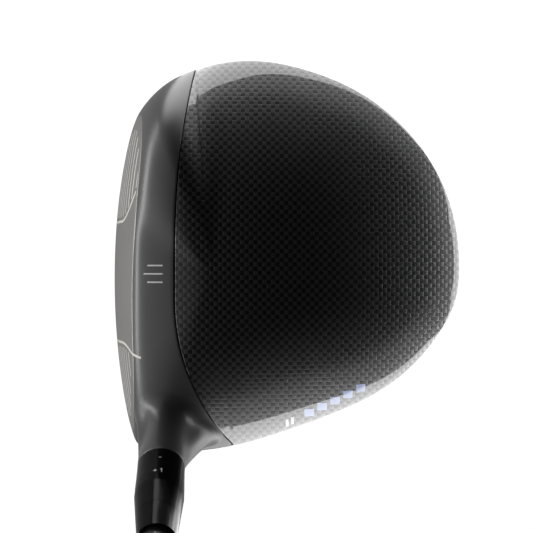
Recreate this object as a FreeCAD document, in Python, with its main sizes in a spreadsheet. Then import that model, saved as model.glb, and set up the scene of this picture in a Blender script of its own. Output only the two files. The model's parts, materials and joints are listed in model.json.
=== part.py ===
"""Golf driver at address: head, adjustable hosel, sliding rear weight, shaft and grip.

The frame is the club's own: the origin is the middle of the flat land that the sole rests on,
+Z is up, the face looks along -X, the toe is towards +Y and the shaft leans away over -Y.
"""

import FreeCAD, Part
import Sketcher
import math
import os

Vector = FreeCAD.Vector
Placement = FreeCAD.Placement
Rotation = FreeCAD.Rotation

DIMENSIONS = {
    # head, measured from the sole land
    "crown_height": 62.0,
    "equator_height": 27.0,
    "crown_apex_back": -16.0,
    "crown_apex_toe": -2.0,
    "crown_round": 2.0,
    "crown_drop": 1.08,
    "shoulder_angle": 112.0,
    "shoulder_front_width": 25.0,
    "shoulder_back_width": 13.0,
    "shoulder_round": 2.2,
    "shoulder_drop": 0.6,
    "sole_round": 2.6,
    "sole_drop": 1.6,
    "land_share": 0.22,
    "shell_wall": 1.5,
    "split_height": 26.4,
    # face
    "face_front": 45.6,
    "face_middle_toe": -4.0,
    "face_middle_height": 31.0,
    "face_radius": 254.0,
    "face_loft": 10.5,
    "face_edge_blend": 1.3,
    "face_thickness": 3.0,
    # joint between the metal front and the carbon panels
    "seam_front": 27.3,
    "seam_toe_radius": 365.0,
    "seam_heel_radius": 70.0,
    "seam_heel_start": 10.0,
    "sole_seam_back": 12.0,
    "bond_width": 0.35,
    # hosel
    "lie_angle": 58.0,
    "hosel_behind_face": -31.4,
    "hosel_toe_side": -59.9,
    "hosel_height": 60.0,
    "hosel_radius": 7.1,
    "hosel_bore_radius": 5.25,
    "hosel_bore_depth": 34.0,
    "hosel_mouth_radius": 5.95,
    "hosel_mouth_depth": 3.0,
    "neck_straight": 4.0,
    "neck_blend_radius": 40.0,
    "neck_flare": 9.0,
    "neck_tail": 7.0,
    "neck_lean_angle": 30.0,
    "screw_web_depth": 50.0,
    "screw_hole_radius": 2.75,
    "screw_port_radius": 5.6,
    # hosel screw
    "screw_radius": 2.45,
    "screw_top": 22.0,
    "screw_head_radius": 4.5,
    "screw_head_height": 4.6,
    "screw_socket_radius": 1.9,
    "screw_socket_depth": 2.8,
    "washer_thickness": 0.9,
    # adapter
    "cog_base": 0.6,
    "cog_depth": 3.9,
    "cog_half_base": 3.6,
    "cog_half_tip": 2.55,
    "lie_ring_top": 7.2,
    "loft_ring_top": 11.2,
    "loft_tooth_top": 15.1,
    "ring_bore_radius": 5.2,
    "loft_ring_radius": 7.3,
    "collar_radius": 7.35,
    "collar_top": 24.1,
    "collar_top_radius": 6.6,
    "sleeve_radius": 5.15,
    "sleeve_bottom": 33.4,
    "sleeve_floor": 14.0,
    "sleeve_thread_radius": 2.5,
    "sleeve_bore_radius": 4.4,
    "retainer_radius": 5.75,
    "retainer_bottom": 2.6,
    "retainer_top": 0.5,
    "ferrule_top": 34.0,
    "ferrule_top_radius": 5.75,
    "ferrule_cup_radius": 5.35,
    "ferrule_cup_depth": 3.2,
    # shaft and grip
    "club_length": 1156.0,
    "shaft_tip_radius": 4.25,
    "shaft_butt_radius": 7.6,
    "shaft_tip_parallel": 60.0,
    "shaft_butt_parallel": 274.0,
    "shaft_wall": 1.3,
    "tip_plug_length": 9.0,
    "grip_length": 268.0,
    "grip_mouth_radius": 9.3,
    "grip_butt_radius": 13.2,
    "grip_lip_length": 6.0,
    "tape_thickness": 0.3,
    "cap_height": 7.0,
    "cap_radius": 14.0,
    "vent_radius": 1.2,
    # rear weight
    "track_radius": 47.0,
    "track_height": 8.4,
    "track_slope": 33.0,
    "track_half_angle": 27.0,
    "track_half_width": 8.0,
    "track_depth": 8.6,
    "recess_half_width": 6.0,
    "recess_floor": 1.4,
    "lip_half_gap": 3.6,
    "lip_inside": 3.2,
    "slot_half_width": 5.4,
    "slot_roof": 6.8,
    "slide_gap": 0.2,
    "shoe_half_angle": 8.5,
    "shoe_proud": 0.6,
    "weight_screw_radius": 1.9,
    "weight_screw_head_radius": 3.4,
    "weight_screw_head_height": 1.3,
    "weight_screw_gap": 0.1,
}

# Widest outline of the head seen from above, toe side first, carried on ahead of the face.
HEAD_OUTLINE = [
    (60.3, 1.0),
    (57.9, 18.0),
    (49.2, 36.0),
    (32.3, 52.4),
    (12.0, 61.6),
    (-8.0, 64.3),
    (-27.0, 59.7),
    (-38.5, 50.5),
    (-52.0, 36.0),
    (-66.0, 18.0),
    (-70.0, -4.0),
    (-66.0, -26.0),
    (-54.0, -46.0),
    (-37.0, -57.0),
    (-14.0, -56.7),
    (6.0, -51.3),
    (30.6, -41.6),
    (47.7, -28.9),
    (57.9, -14.0),
]

# Edge of the face seen from the front: toe-heel place and height.
FACE_OUTLINE = [
    (46.8, 31.0),
    (43.5, 43.0),
    (34.0, 50.5),
    (20.0, 53.2),
    (0.0, 53.2),
    (-18.0, 51.0),
    (-34.0, 44.8),
    (-47.0, 34.5),
    (-51.5, 25.5),
    (-44.0, 15.5),
    (-25.0, 8.8),
    (0.0, 6.8),
    (22.0, 9.8),
    (37.0, 17.5),
]

# Lengths that follow from the driving dimensions.
DERIVED = {
    "grip_end": "=club_length - hosel_height / sin(lie_angle * 1 deg)",
    "shaft_top": "=grip_end - cap_height",
    "grip_start": "=grip_end - grip_length",
    "screw_head_top": "=screw_web_depth + washer_thickness + 0.1",
}

AROUND = 96
CROWN_ROWS = 14
SOLE_ROWS = 13
CAP_ANGLE = 0.06
NECK_STEPS = 7
REACH = 120.0

doc = FreeCAD.newDocument("golf_driver")
sheet = doc.addObject("Spreadsheet::Sheet", "Sheet")
for row, (alias, value) in enumerate({**DIMENSIONS, **DERIVED}.items(), start=1):
    sheet.set(f"A{row}", alias)
    sheet.set(f"B{row}", str(value))
    sheet.setAlias(f"B{row}", alias)
working = doc.addObject("Spreadsheet::Sheet", "Working")
doc.recompute()


def size(alias):
    """One driving dimension, read from the sheet."""
    return float(sheet.get(alias))


# ---------------------------------------------------------------- helpers


def add(kind, label, **values):
    """A document object with its own label; text values are expressions, others are set."""
    made = doc.addObject(kind, label)
    made.Label = label
    for name, value in values.items():
        if isinstance(value, str):
            made.setExpression(name, value)
        else:
            setattr(made, name, value)
    return made


def boolean(kind, label, base, tool):
    """A two-sided boolean: Cut, Common or Fuse."""
    return add(f"Part::{kind}", label, Base=base, Tool=tool)


def fuse(label, *pieces):
    """Several objects joined into one."""
    return add("Part::MultiFuse", label, Shapes=list(pieces), Refine=False)


def hosel_line():
    """Local +Z runs up the shaft from the middle of the hosel's mouth, local +Y looks to the toe."""
    mouth = Vector(size("hosel_behind_face"), size("hosel_toe_side"), size("hosel_height"))
    return Placement(mouth, Rotation(Vector(1, 0, 0), 90.0 - size("lie_angle")))


def sketch(body, name, role, points):
    """A closed outline of straight runs, every corner bound to two expressions."""
    plane = [x for x in body.Origin.OriginFeatures if x.Role == role][0]
    drawn = body.newObject("Sketcher::SketchObject", name)
    drawn.AttachmentSupport = [(plane, "")]
    drawn.MapMode = "FlatFace"
    doc.recompute()
    spots = [(guess(a), guess(b)) for a, b in points]
    count = len(points)
    for here, there in zip(spots, spots[1:] + spots[:1]):
        drawn.addGeometry(Part.LineSegment(Vector(*here, 0), Vector(*there, 0)), False)
    for i in range(count):
        drawn.addConstraint(Sketcher.Constraint("Coincident", i, 2, (i + 1) % count, 1))
    for i, (across, along) in enumerate(points):
        for kind, number, rule in (("DistanceX", 0, across), ("DistanceY", 1, along)):
            made = drawn.addConstraint(
                Sketcher.Constraint(kind, -1, 1, i, 1, spots[i][number])
            )
            drawn.renameConstraint(made, f"{kind}{i}")
            drawn.setExpression(f"Constraints.{kind}{i}", rule)
    return drawn


def guess(rule):
    """The value of an expression over the sheet, for a sketch's first placing of a corner."""
    working.set("A1", f"={rule}")
    working.recompute()
    return float(working.get("A1"))


def turned(label, points, angle=360.0):
    """A PartDesign body turned about local Z from an outline of (radius, height) expressions."""
    body = doc.addObject("PartDesign::Body", label)
    body.Label = label
    outline = sketch(body, f"{label}_outline", "XZ_Plane", points)
    turn = body.newObject("PartDesign::Revolution", f"{label}_turn")
    turn.Profile = outline
    turn.ReferenceAxis = (outline, ["V_Axis"])
    turn.Angle = angle
    turn.Midplane = angle < 360.0
    outline.Visibility = False
    return body


# ---------------------------------------------------------------- head surface


def through(points):
    """Control points of the closed uniform cubic spline that passes through the given points."""
    control = list(points)
    for _ in range(20):
        count = len(points)
        control = [
            tuple(
                (6 * points[i][k] - control[i - 1][k] - control[(i + 1) % count][k]) / 4
                for k in (0, 1)
            )
            for i in range(count)
        ]
    return control


def around(control, share):
    """The point of a closed uniform cubic spline at a share of the way round."""
    count = len(control)
    place = share * count
    first = int(place) % count
    t = place - int(place)
    weights = (
        (1 - t) ** 3 / 6,
        (3 * t**3 - 6 * t**2 + 4) / 6,
        (-3 * t**3 + 3 * t**2 + 3 * t + 1) / 6,
        t**3 / 6,
    )
    spots = [control[(first - 1 + i) % count] for i in range(4)]
    return tuple(sum(w * p[k] for w, p in zip(weights, spots)) for k in (0, 1))


def face_centre():
    """Centre of the sphere that the bulged and rolled face is part of."""
    loft = math.radians(size("face_loft"))
    front = Vector(
        -size("face_front"), size("face_middle_toe"), size("face_middle_height")
    )
    return front + Vector(math.cos(loft), 0, -math.sin(loft)) * size("face_radius")


def behind_face(point, inset):
    """A point ahead of the face moved back onto the face sphere, with a soft edge all round."""
    centre = face_centre()
    out = point - centre
    reach = out.Length
    over = (reach - (size("face_radius") - inset)) / size("face_edge_blend")
    push = over if over > 30 else math.log1p(math.exp(over))
    return centre + out * ((reach - push * size("face_edge_blend")) / reach)


def fullness(edge, upper):
    """Roundness and drop of the side towards a point of the outline; the toe shoulder is fuller."""
    if not upper:
        return size("sole_round"), size("sole_drop")
    across = (edge[0] - size("crown_apex_back"), edge[1] - size("crown_apex_toe"))
    away = math.degrees(math.atan2(across[1], across[0])) - size("shoulder_angle")
    width = size("shoulder_front_width") if away > 0 else size("shoulder_back_width")
    shoulder = math.exp(-((away / width) ** 2)) if across[1] > 0 else 0.0
    full = size("crown_round") + size("shoulder_round") * shoulder
    return full, size("crown_drop") + size("shoulder_drop") * shoulder


def level_point(edge, angle, upper, inset):
    """A point of the head between its top or bottom (angle 0) and its equator (90 degrees)."""
    full, drop = fullness(edge, upper)
    share = math.sin(angle) ** (2 / full)
    rise = math.cos(angle) ** (2 / drop)
    middle = (size("crown_apex_back"), size("crown_apex_toe")) if upper else (0.0, 0.0)
    if not upper:
        share = size("land_share") + (1 - size("land_share")) * share
    far = math.hypot(edge[0] - middle[0], edge[1] - middle[1])
    scale = share * (far - inset) / far
    across = [m + (e - m) * scale for m, e in zip(middle, edge)]
    equator = size("equator_height")
    if upper:
        height = equator + (size("crown_height") - inset - equator) * rise
    else:
        height = equator - (equator - inset) * rise
    return behind_face(Vector(across[0], across[1], height), inset)


def head_solid(label, inset):
    """The whole head as one smooth closed solid, drawn in by an inset all round."""
    outline = through(HEAD_OUTLINE)
    edges = [around(outline, i / AROUND) for i in range(AROUND)]
    quarter = math.pi / 2
    spread = quarter - CAP_ANGLE
    rows = [(True, CAP_ANGLE + spread * i / CROWN_ROWS) for i in range(CROWN_ROWS + 1)]
    rows += [(False, quarter * (1 - i / SOLE_ROWS)) for i in range(1, SOLE_ROWS + 1)]
    grid = [[level_point(edge, angle, upper, inset) for upper, angle in rows] for edge in edges]
    for end in (0, -1):
        flat = max(line[end].z for line in grid) if end == 0 else min(line[end].z for line in grid)
        for line in grid:
            line[end].z = flat
    spans = len(rows) - 3
    skin = Part.BSplineSurface()
    skin.buildFromPolesMultsKnots(
        grid,
        [1] * (AROUND + 1),
        [4] + [1] * (spans - 1) + [4],
        list(range(AROUND + 1)),
        list(range(spans + 1)),
        True,
        False,
        3,
        3,
    )
    side = skin.toShape()
    rims = [e for e in side.Edges if not e.isSeam(side)]
    shell = Part.Shell([side] + [Part.Face(Part.Wire([e])) for e in rims])
    shell.sewShape()
    solid = Part.Solid(shell)
    solid.fix(1e-4, 1e-5, 1e-3)
    if solid.Volume < 0:
        solid.reverse()
    made = doc.addObject("Part::Feature", label)
    made.Shape = solid
    return made


head_outer = head_solid("head_outer", 0.0)
head_inner = head_solid("head_inner", size("shell_wall"))
shell = boolean("Cut", "head_shell", head_outer, head_inner)


# ---------------------------------------------------------------- seams and head panels


def rear_zone(label, shift, bottom, top):
    """Everything behind the seam: a straight middle, a wide toe arc and a tighter heel arc."""
    seam = f"{shift} - Sheet.seam_front"
    pieces = []
    for side, radius, start in (
        ("toe", "Sheet.seam_toe_radius", "0"),
        ("heel", "Sheet.seam_heel_radius", "-Sheet.seam_heel_start"),
    ):
        disc = add("Part::Cylinder", f"{label}_{side}_arc", Radius=radius, Height=f"{top} - ({bottom})")
        disc.setExpression("Placement.Base.x", f"{seam} + {radius}")
        disc.setExpression("Placement.Base.y", start)
        disc.setExpression("Placement.Base.z", bottom)
        half = add("Part::Box", f"{label}_{side}_half", Length=3 * REACH, Width=REACH, Height=REACH)
        half.setExpression("Placement.Base.x", "-100")
        half.setExpression("Placement.Base.y", start if side == "toe" else f"{start} - {REACH}")
        half.setExpression("Placement.Base.z", bottom)
        pieces.append(boolean("Common", f"{label}_{side}", disc, half))
    strip = add("Part::Box", f"{label}_strip", Length=REACH, Height=f"{top} - ({bottom})")
    strip.setExpression("Width", "Sheet.seam_heel_start")
    strip.setExpression("Placement.Base.x", seam)
    strip.setExpression("Placement.Base.y", "-Sheet.seam_heel_start")
    strip.setExpression("Placement.Base.z", bottom)
    return fuse(label, *pieces, strip)


CROWN_ZONE = ("Sheet.split_height", "Sheet.crown_height + 10")
SOLE_ZONE = ("-10", "Sheet.split_height")
crown_zone = rear_zone("crown_zone", "0", *CROWN_ZONE)
crown_zone_bonded = rear_zone("crown_zone_bonded", "-Sheet.bond_width", *CROWN_ZONE)
sole_zone = rear_zone("sole_zone", "Sheet.sole_seam_back", *SOLE_ZONE)
sole_zone_bonded = rear_zone(
    "sole_zone_bonded", "Sheet.sole_seam_back - Sheet.bond_width", *SOLE_ZONE
)
panels_zone = fuse("panels_zone", crown_zone, sole_zone)
bonded_zone = fuse("bonded_zone", crown_zone_bonded, sole_zone_bonded)

crown_panel = boolean("Common", "crown_panel", shell, crown_zone)
bond_zone = boolean("Cut", "bond_zone", bonded_zone, panels_zone)
seam_bond = boolean("Common", "seam_bond", shell, bond_zone)
front_shell = boolean("Cut", "front_shell", shell, bonded_zone)


# ---------------------------------------------------------------- face


face_wire = doc.addObject("Part::Feature", "face_wire")
face_curve = Part.BSplineCurve()
face_curve.buildFromPolesMultsKnots(
    [Vector(-60, y, z) for y, z in through(FACE_OUTLINE)],
    [1] * (len(FACE_OUTLINE) + 1),
    list(range(len(FACE_OUTLINE) + 1)),
    True,
    3,
)
face_wire.Shape = Part.Wire([face_curve.toShape()])
face_zone = add("Part::Extrusion", "face_zone", Base=face_wire, Dir=Vector(1, 0, 0))
face_zone.LengthFwd = 29.0
face_zone.Solid = True
face_back = add("Part::Sphere", "face_back", Radius="Sheet.face_radius - Sheet.face_thickness")
face_back.Placement = Placement(face_centre(), Rotation())
face_blank = boolean("Common", "face_blank", head_outer, face_zone)
face_plate = boolean("Cut", "face_plate", face_blank, face_back)


# ---------------------------------------------------------------- hosel


def tube(label, inner, outer, bottom, top):
    """A plain tube or, with no inner radius, a rod, along the local Z axis."""
    points = [(inner, bottom), (outer, bottom), (outer, top), (inner, top)]
    return turned(label, points)


def on_hosel(piece):
    """Moves a piece made about local Z onto the hosel line."""
    piece.Placement = hosel_line()
    return piece


def neck_solid():
    """Outside of the hosel: a bar that flares behind and towards the toe, and ends inside the shell."""
    flare = size("neck_blend_radius")
    radius = size("hosel_radius")
    straight = size("neck_straight")
    last = math.acos(1 - size("neck_flare") / flare)
    lean = math.radians(size("neck_lean_angle"))
    turns = [last * i / NECK_STEPS for i in range(NECK_STEPS + 1)]
    rings = [(0.0, 0.0)]
    rings += [(straight + flare * math.sin(a), flare * (1 - math.cos(a))) for a in turns]
    depth, grown = rings[-1]
    rings.append((depth + size("neck_tail"), grown))
    wires = []
    for depth, grown in rings:
        middle = Vector(math.cos(lean) * grown, math.sin(lean) * grown, -depth)
        ring = Part.Circle(middle, Vector(0, 0, 1), radius + grown)
        wires.append(Part.Wire([ring.toShape()]))
    made = doc.addObject("Part::Feature", "neck_bar")
    made.Shape = Part.makeLoft(wires, True, False)
    return on_hosel(made)


neck_bar = neck_solid()
neck_outside = boolean("Cut", "neck_outside", neck_bar, head_inner)
neck = boolean("Cut", "neck", neck_outside, bonded_zone)
tube_bar = on_hosel(tube("tube_bar", "0", "Sheet.hosel_radius - 0.2", "-80", "-8"))
hosel_tube = boolean("Common", "hosel_tube", tube_bar, head_outer)
hosel_bores = on_hosel(
    turned(
        "hosel_bores",
        [
            ("0", "-85"),
            ("Sheet.screw_port_radius", "-85"),
            ("Sheet.screw_port_radius", "-Sheet.screw_web_depth"),
            ("Sheet.screw_hole_radius", "-Sheet.screw_web_depth"),
            ("Sheet.screw_hole_radius", "-Sheet.hosel_bore_depth"),
            ("Sheet.hosel_bore_radius", "-Sheet.hosel_bore_depth"),
            ("Sheet.hosel_bore_radius", "-Sheet.hosel_mouth_depth"),
            ("Sheet.hosel_mouth_radius", "-Sheet.hosel_mouth_depth"),
            ("Sheet.hosel_mouth_radius", "5"),
            ("0", "5"),
        ],
    )
)
front_skin = boolean("Cut", "front_skin", front_shell, face_zone)
front_solid = fuse("front_solid", front_skin, neck, hosel_tube)
front_frame = boolean("Cut", "front_frame", front_solid, hosel_bores)


# ---------------------------------------------------------------- hosel screw


def hex_socket(label, radius, depth, bottom):
    """A six-sided driver socket, opening downwards from its bottom."""
    made = add("Part::Prism", label, Polygon=6, Circumradius=radius, Height=f"{depth} + 1")
    made.setExpression("Placement.Base.z", f"{bottom} - 1")
    return made


screw_blank = turned(
    "hosel_screw_blank",
    [
        ("0", "-Sheet.screw_head_top - Sheet.screw_head_height"),
        ("Sheet.screw_head_radius - 0.5", "-Sheet.screw_head_top - Sheet.screw_head_height"),
        ("Sheet.screw_head_radius", "-Sheet.screw_head_top - Sheet.screw_head_height + 0.5"),
        ("Sheet.screw_head_radius", "-Sheet.screw_head_top"),
        ("Sheet.screw_radius", "-Sheet.screw_head_top"),
        ("Sheet.screw_radius", "-Sheet.screw_top - 0.8"),
        ("Sheet.screw_radius - 0.8", "-Sheet.screw_top"),
        ("0", "-Sheet.screw_top"),
    ],
)
screw_socket = hex_socket(
    "hosel_screw_socket",
    "Sheet.screw_socket_radius",
    "Sheet.screw_socket_depth",
    "-Sheet.screw_head_top - Sheet.screw_head_height",
)
hosel_screw = on_hosel(boolean("Cut", "hosel_screw", screw_blank, screw_socket))
screw_washer = on_hosel(
    tube(
        "screw_washer",
        "Sheet.screw_hole_radius",
        "Sheet.screw_head_radius",
        "-Sheet.screw_web_depth - Sheet.washer_thickness",
        "-Sheet.screw_web_depth",
    )
)


# ---------------------------------------------------------------- adapter rings and sleeve


def teeth(label, bottom, slack):
    """Four trapezoid cog teeth as two crossed bars, wide at the bottom and narrower at the top."""
    bars = []
    for quarter in (0, 1):
        bar = add(
            "Part::Wedge",
            f"{label}_bar_{quarter}",
            Xmin=f"-Sheet.cog_half_base - {slack}",
            Xmax=f"Sheet.cog_half_base + {slack}",
            X2min=f"-Sheet.cog_half_tip - {slack}",
            X2max=f"Sheet.cog_half_tip + {slack}",
            Ymin=bottom,
            Ymax=f"{bottom} + Sheet.cog_depth + {slack}",
            Zmin=-REACH / 10,
            Zmax=REACH / 10,
            Z2min=-REACH / 10,
            Z2max=REACH / 10,
        )
        upright = Rotation(Vector(1, 0, 0), 90)
        bar.Placement = Placement(Vector(), Rotation(Vector(0, 0, 1), 90 * quarter) * upright)
        bars.append(bar)
    return fuse(label, *bars)


COG_TIP = "Sheet.cog_base + Sheet.cog_depth"
hosel_teeth = teeth("hosel_teeth", "Sheet.cog_base", "0")
hosel_notches = teeth("hosel_notches", "Sheet.cog_base", "0.06")
loft_teeth = teeth("loft_teeth", "Sheet.loft_ring_top", "0")

cog_rim = tube("cog_rim", "Sheet.retainer_radius + 0.1", "Sheet.hosel_radius", "0", "Sheet.cog_base")
cog_wall = tube(
    "cog_wall",
    "Sheet.retainer_radius + 0.1",
    "Sheet.hosel_radius",
    "Sheet.cog_base",
    COG_TIP,
)
cog_fingers = boolean("Common", "cog_fingers", cog_wall, hosel_teeth)
hosel_cog = on_hosel(fuse("hosel_cog", cog_rim, cog_fingers))

lie_blank = turned(
    "lie_blank",
    [
        ("Sheet.ring_bore_radius", "Sheet.cog_base + 0.05"),
        ("Sheet.hosel_radius", "Sheet.cog_base + 0.05"),
        ("Sheet.hosel_radius + 0.08", "Sheet.lie_ring_top"),
        ("Sheet.ring_bore_radius", "Sheet.lie_ring_top"),
    ],
)
lie_ring = on_hosel(boolean("Cut", "lie_ring", lie_blank, hosel_notches))

loft_rim = turned(
    "loft_rim",
    [
        ("Sheet.ring_bore_radius", "Sheet.lie_ring_top"),
        ("Sheet.hosel_radius + 0.08", "Sheet.lie_ring_top"),
        ("Sheet.loft_ring_radius", "Sheet.loft_ring_top"),
        ("Sheet.ring_bore_radius", "Sheet.loft_ring_top"),
    ],
)
loft_wall = tube(
    "loft_wall",
    "Sheet.ring_bore_radius",
    "Sheet.loft_ring_radius",
    "Sheet.loft_ring_top",
    "Sheet.loft_tooth_top",
)
loft_fingers = boolean("Common", "loft_fingers", loft_wall, loft_teeth)
loft_ring = on_hosel(fuse("loft_ring", loft_rim, loft_fingers))

sleeve_blank = turned(
    "sleeve_blank",
    [
        ("Sheet.sleeve_thread_radius", "-Sheet.sleeve_bottom"),
        ("Sheet.sleeve_radius", "-Sheet.sleeve_bottom"),
        ("Sheet.sleeve_radius", "Sheet.loft_ring_top"),
        ("Sheet.loft_ring_radius", "Sheet.loft_ring_top"),
        ("Sheet.collar_radius", "Sheet.loft_tooth_top"),
        ("Sheet.collar_top_radius", "Sheet.collar_top"),
        ("Sheet.sleeve_bore_radius", "Sheet.collar_top"),
        ("Sheet.sleeve_bore_radius", "-Sheet.sleeve_floor"),
        ("Sheet.sleeve_thread_radius", "-Sheet.sleeve_floor"),
    ],
)
notch_wall = tube(
    "notch_wall",
    "Sheet.ring_bore_radius",
    "Sheet.collar_radius + 1",
    "Sheet.loft_ring_top",
    "Sheet.loft_tooth_top",
)
sleeve_notches = boolean("Common", "sleeve_notches", notch_wall, loft_teeth)
shaft_sleeve = on_hosel(boolean("Cut", "shaft_sleeve", sleeve_blank, sleeve_notches))

cog_retainer = on_hosel(
    tube(
        "cog_retainer",
        "Sheet.sleeve_radius",
        "Sheet.retainer_radius",
        "-Sheet.retainer_bottom",
        "-Sheet.retainer_top",
    )
)
ferrule = on_hosel(
    turned(
        "ferrule",
        [
            ("Sheet.shaft_tip_radius", "Sheet.collar_top"),
            ("Sheet.collar_top_radius", "Sheet.collar_top"),
            ("Sheet.ferrule_top_radius", "Sheet.ferrule_top - 0.3"),
            ("Sheet.ferrule_top_radius - 0.2", "Sheet.ferrule_top"),
            ("Sheet.ferrule_cup_radius", "Sheet.ferrule_top"),
            ("Sheet.shaft_tip_radius + 0.5", "Sheet.ferrule_top - Sheet.ferrule_cup_depth"),
            ("Sheet.shaft_tip_radius", "Sheet.ferrule_top - Sheet.ferrule_cup_depth"),
        ],
    )
)


# ---------------------------------------------------------------- shaft and grip


SHAFT_START = "-Sheet.sleeve_floor + 0.5"
shaft = on_hosel(
    turned(
        "shaft",
        [
            ("Sheet.shaft_tip_radius - Sheet.shaft_wall", SHAFT_START),
            ("Sheet.shaft_tip_radius", SHAFT_START),
            ("Sheet.shaft_tip_radius", "Sheet.shaft_tip_parallel"),
            ("Sheet.shaft_butt_radius", "Sheet.shaft_top - Sheet.shaft_butt_parallel"),
            ("Sheet.shaft_butt_radius", "Sheet.shaft_top"),
            ("Sheet.shaft_butt_radius - Sheet.shaft_wall", "Sheet.shaft_top"),
            (
                "Sheet.shaft_butt_radius - Sheet.shaft_wall",
                "Sheet.shaft_top - Sheet.shaft_butt_parallel",
            ),
            ("Sheet.shaft_tip_radius - Sheet.shaft_wall", "Sheet.shaft_tip_parallel"),
        ],
    )
)
tip_plug = on_hosel(
    tube(
        "tip_plug",
        "0",
        "Sheet.shaft_tip_radius - Sheet.shaft_wall",
        SHAFT_START,
        f"{SHAFT_START} + Sheet.tip_plug_length",
    )
)
tip_epoxy = on_hosel(
    tube(
        "tip_epoxy",
        "Sheet.shaft_tip_radius",
        "Sheet.sleeve_bore_radius",
        SHAFT_START,
        "Sheet.collar_top",
    )
)
GRIP_BORE = "Sheet.shaft_butt_radius + Sheet.tape_thickness"
grip_tape = on_hosel(
    tube("grip_tape", "Sheet.shaft_butt_radius", GRIP_BORE, "Sheet.grip_start + 3", "Sheet.shaft_top")
)
grip = on_hosel(
    turned(
        "grip",
        [
            (GRIP_BORE, "Sheet.grip_start"),
            ("Sheet.grip_mouth_radius - 0.6", "Sheet.grip_start"),
            ("Sheet.grip_mouth_radius", "Sheet.grip_start + 0.6"),
            ("Sheet.grip_mouth_radius", "Sheet.grip_start + Sheet.grip_lip_length"),
            ("Sheet.grip_butt_radius", "Sheet.shaft_top"),
            (GRIP_BORE, "Sheet.shaft_top"),
        ],
    )
)
grip_cap = on_hosel(
    turned(
        "grip_cap",
        [
            ("Sheet.vent_radius", "Sheet.shaft_top"),
            ("Sheet.cap_radius - 0.6", "Sheet.shaft_top"),
            ("Sheet.cap_radius", "Sheet.shaft_top + 0.6"),
            ("Sheet.cap_radius", "Sheet.shaft_top + 3"),
            ("Sheet.cap_radius - 1", "Sheet.shaft_top + 5"),
            ("Sheet.cap_radius - 3.5", "Sheet.grip_end - 0.6"),
            ("Sheet.cap_radius - 7", "Sheet.grip_end"),
            ("Sheet.vent_radius", "Sheet.grip_end"),
        ],
    )
)


# ---------------------------------------------------------------- sliding rear weight


def track_spots(points):
    """Section corners given along the slope of the sole and square to it, as sheet expressions."""
    slope = "Sheet.track_slope * 1 deg"
    return [
        (
            f"Sheet.track_radius + ({along}) * cos({slope}) - ({inward}) * sin({slope})",
            f"Sheet.track_height + ({along}) * sin({slope}) + ({inward}) * cos({slope})",
        )
        for along, inward in points
    ]


def mirrored(half):
    """A section outline from its outer half, mirrored about its own middle line."""
    return [(f"-({along})", inward) for along, inward in reversed(half)] + half


def track_piece(label, half, half_angle):
    """A length of ring about the head's upright axis, with a section square to the sole."""
    return turned(label, track_spots(mirrored(half)), 2 * half_angle)


track_blank = track_piece(
    "track_blank",
    [("Sheet.track_half_width", "-12"), ("Sheet.track_half_width", "Sheet.track_depth")],
    size("track_half_angle"),
)
track_solid = boolean("Common", "track_solid", track_blank, head_outer)
track_groove = track_piece(
    "track_groove",
    [
        ("Sheet.recess_half_width", "-13"),
        ("Sheet.recess_half_width", "Sheet.recess_floor"),
        ("Sheet.lip_half_gap", "Sheet.recess_floor"),
        ("Sheet.lip_half_gap", "Sheet.lip_inside"),
        ("Sheet.slot_half_width", "Sheet.lip_inside"),
        ("Sheet.slot_half_width", "Sheet.slot_roof"),
    ],
    size("track_half_angle") - 1.5,
)
weight_track = boolean("Cut", "weight_track", track_solid, track_groove)
open_shell = boolean("Cut", "open_shell", shell, track_blank)
sole_panel = boolean("Common", "sole_panel", open_shell, sole_zone)


def on_track(piece):
    """Local +Z points square into the sole from the middle of the track."""
    middle = Vector(size("track_radius"), 0, size("track_height"))
    piece.Placement = Placement(middle, Rotation(Vector(0, 1, 0), -size("track_slope")))
    return piece


GAP = "Sheet.slide_gap"
SCREW_FIT = "Sheet.weight_screw_gap"
HEAD_SEAT = "Sheet.weight_screw_head_height - 0.4"
shoe_blank = track_piece(
    "shoe_blank",
    [
        (f"Sheet.recess_half_width - {GAP}", "-Sheet.shoe_proud"),
        (f"Sheet.recess_half_width - {GAP}", f"Sheet.recess_floor - {GAP}"),
        (f"Sheet.lip_half_gap - {GAP}", f"Sheet.recess_floor - {GAP}"),
        (f"Sheet.lip_half_gap - {GAP}", f"Sheet.lip_inside - {GAP}"),
    ],
    size("shoe_half_angle"),
)
clamp_blank = track_piece(
    "clamp_blank",
    [
        (f"Sheet.slot_half_width - {GAP}", f"Sheet.lip_inside + {GAP}"),
        (f"Sheet.slot_half_width - {GAP}", f"Sheet.slot_roof - {GAP}"),
    ],
    size("shoe_half_angle") - 1,
)
weight_hole = on_track(
    turned(
        "weight_hole",
        [
            ("0", "-5"),
            (f"Sheet.weight_screw_head_radius + {SCREW_FIT}", "-5"),
            (f"Sheet.weight_screw_head_radius + {SCREW_FIT}", HEAD_SEAT),
            (f"Sheet.weight_screw_radius + {SCREW_FIT}", HEAD_SEAT),
            (f"Sheet.weight_screw_radius + {SCREW_FIT}", "12"),
            ("0", "12"),
        ],
    )
)
weight_shoe = boolean("Cut", "weight_shoe", shoe_blank, weight_hole)
weight_clamp = boolean("Cut", "weight_clamp", clamp_blank, weight_hole)
weight_screw_blank = turned(
    "weight_screw_blank",
    [
        ("0", "-0.45"),
        ("Sheet.weight_screw_head_radius - 0.3", "-0.45"),
        ("Sheet.weight_screw_head_radius", "-0.15"),
        ("Sheet.weight_screw_head_radius", f"{HEAD_SEAT} - 0.05"),
        ("Sheet.weight_screw_radius", f"{HEAD_SEAT} - 0.05"),
        ("Sheet.weight_screw_radius", "Sheet.slot_roof - 0.6"),
        ("0", "Sheet.slot_roof - 0.6"),
    ],
)
weight_socket = hex_socket("weight_socket", "1.7", "1.1", "-0.45")
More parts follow.
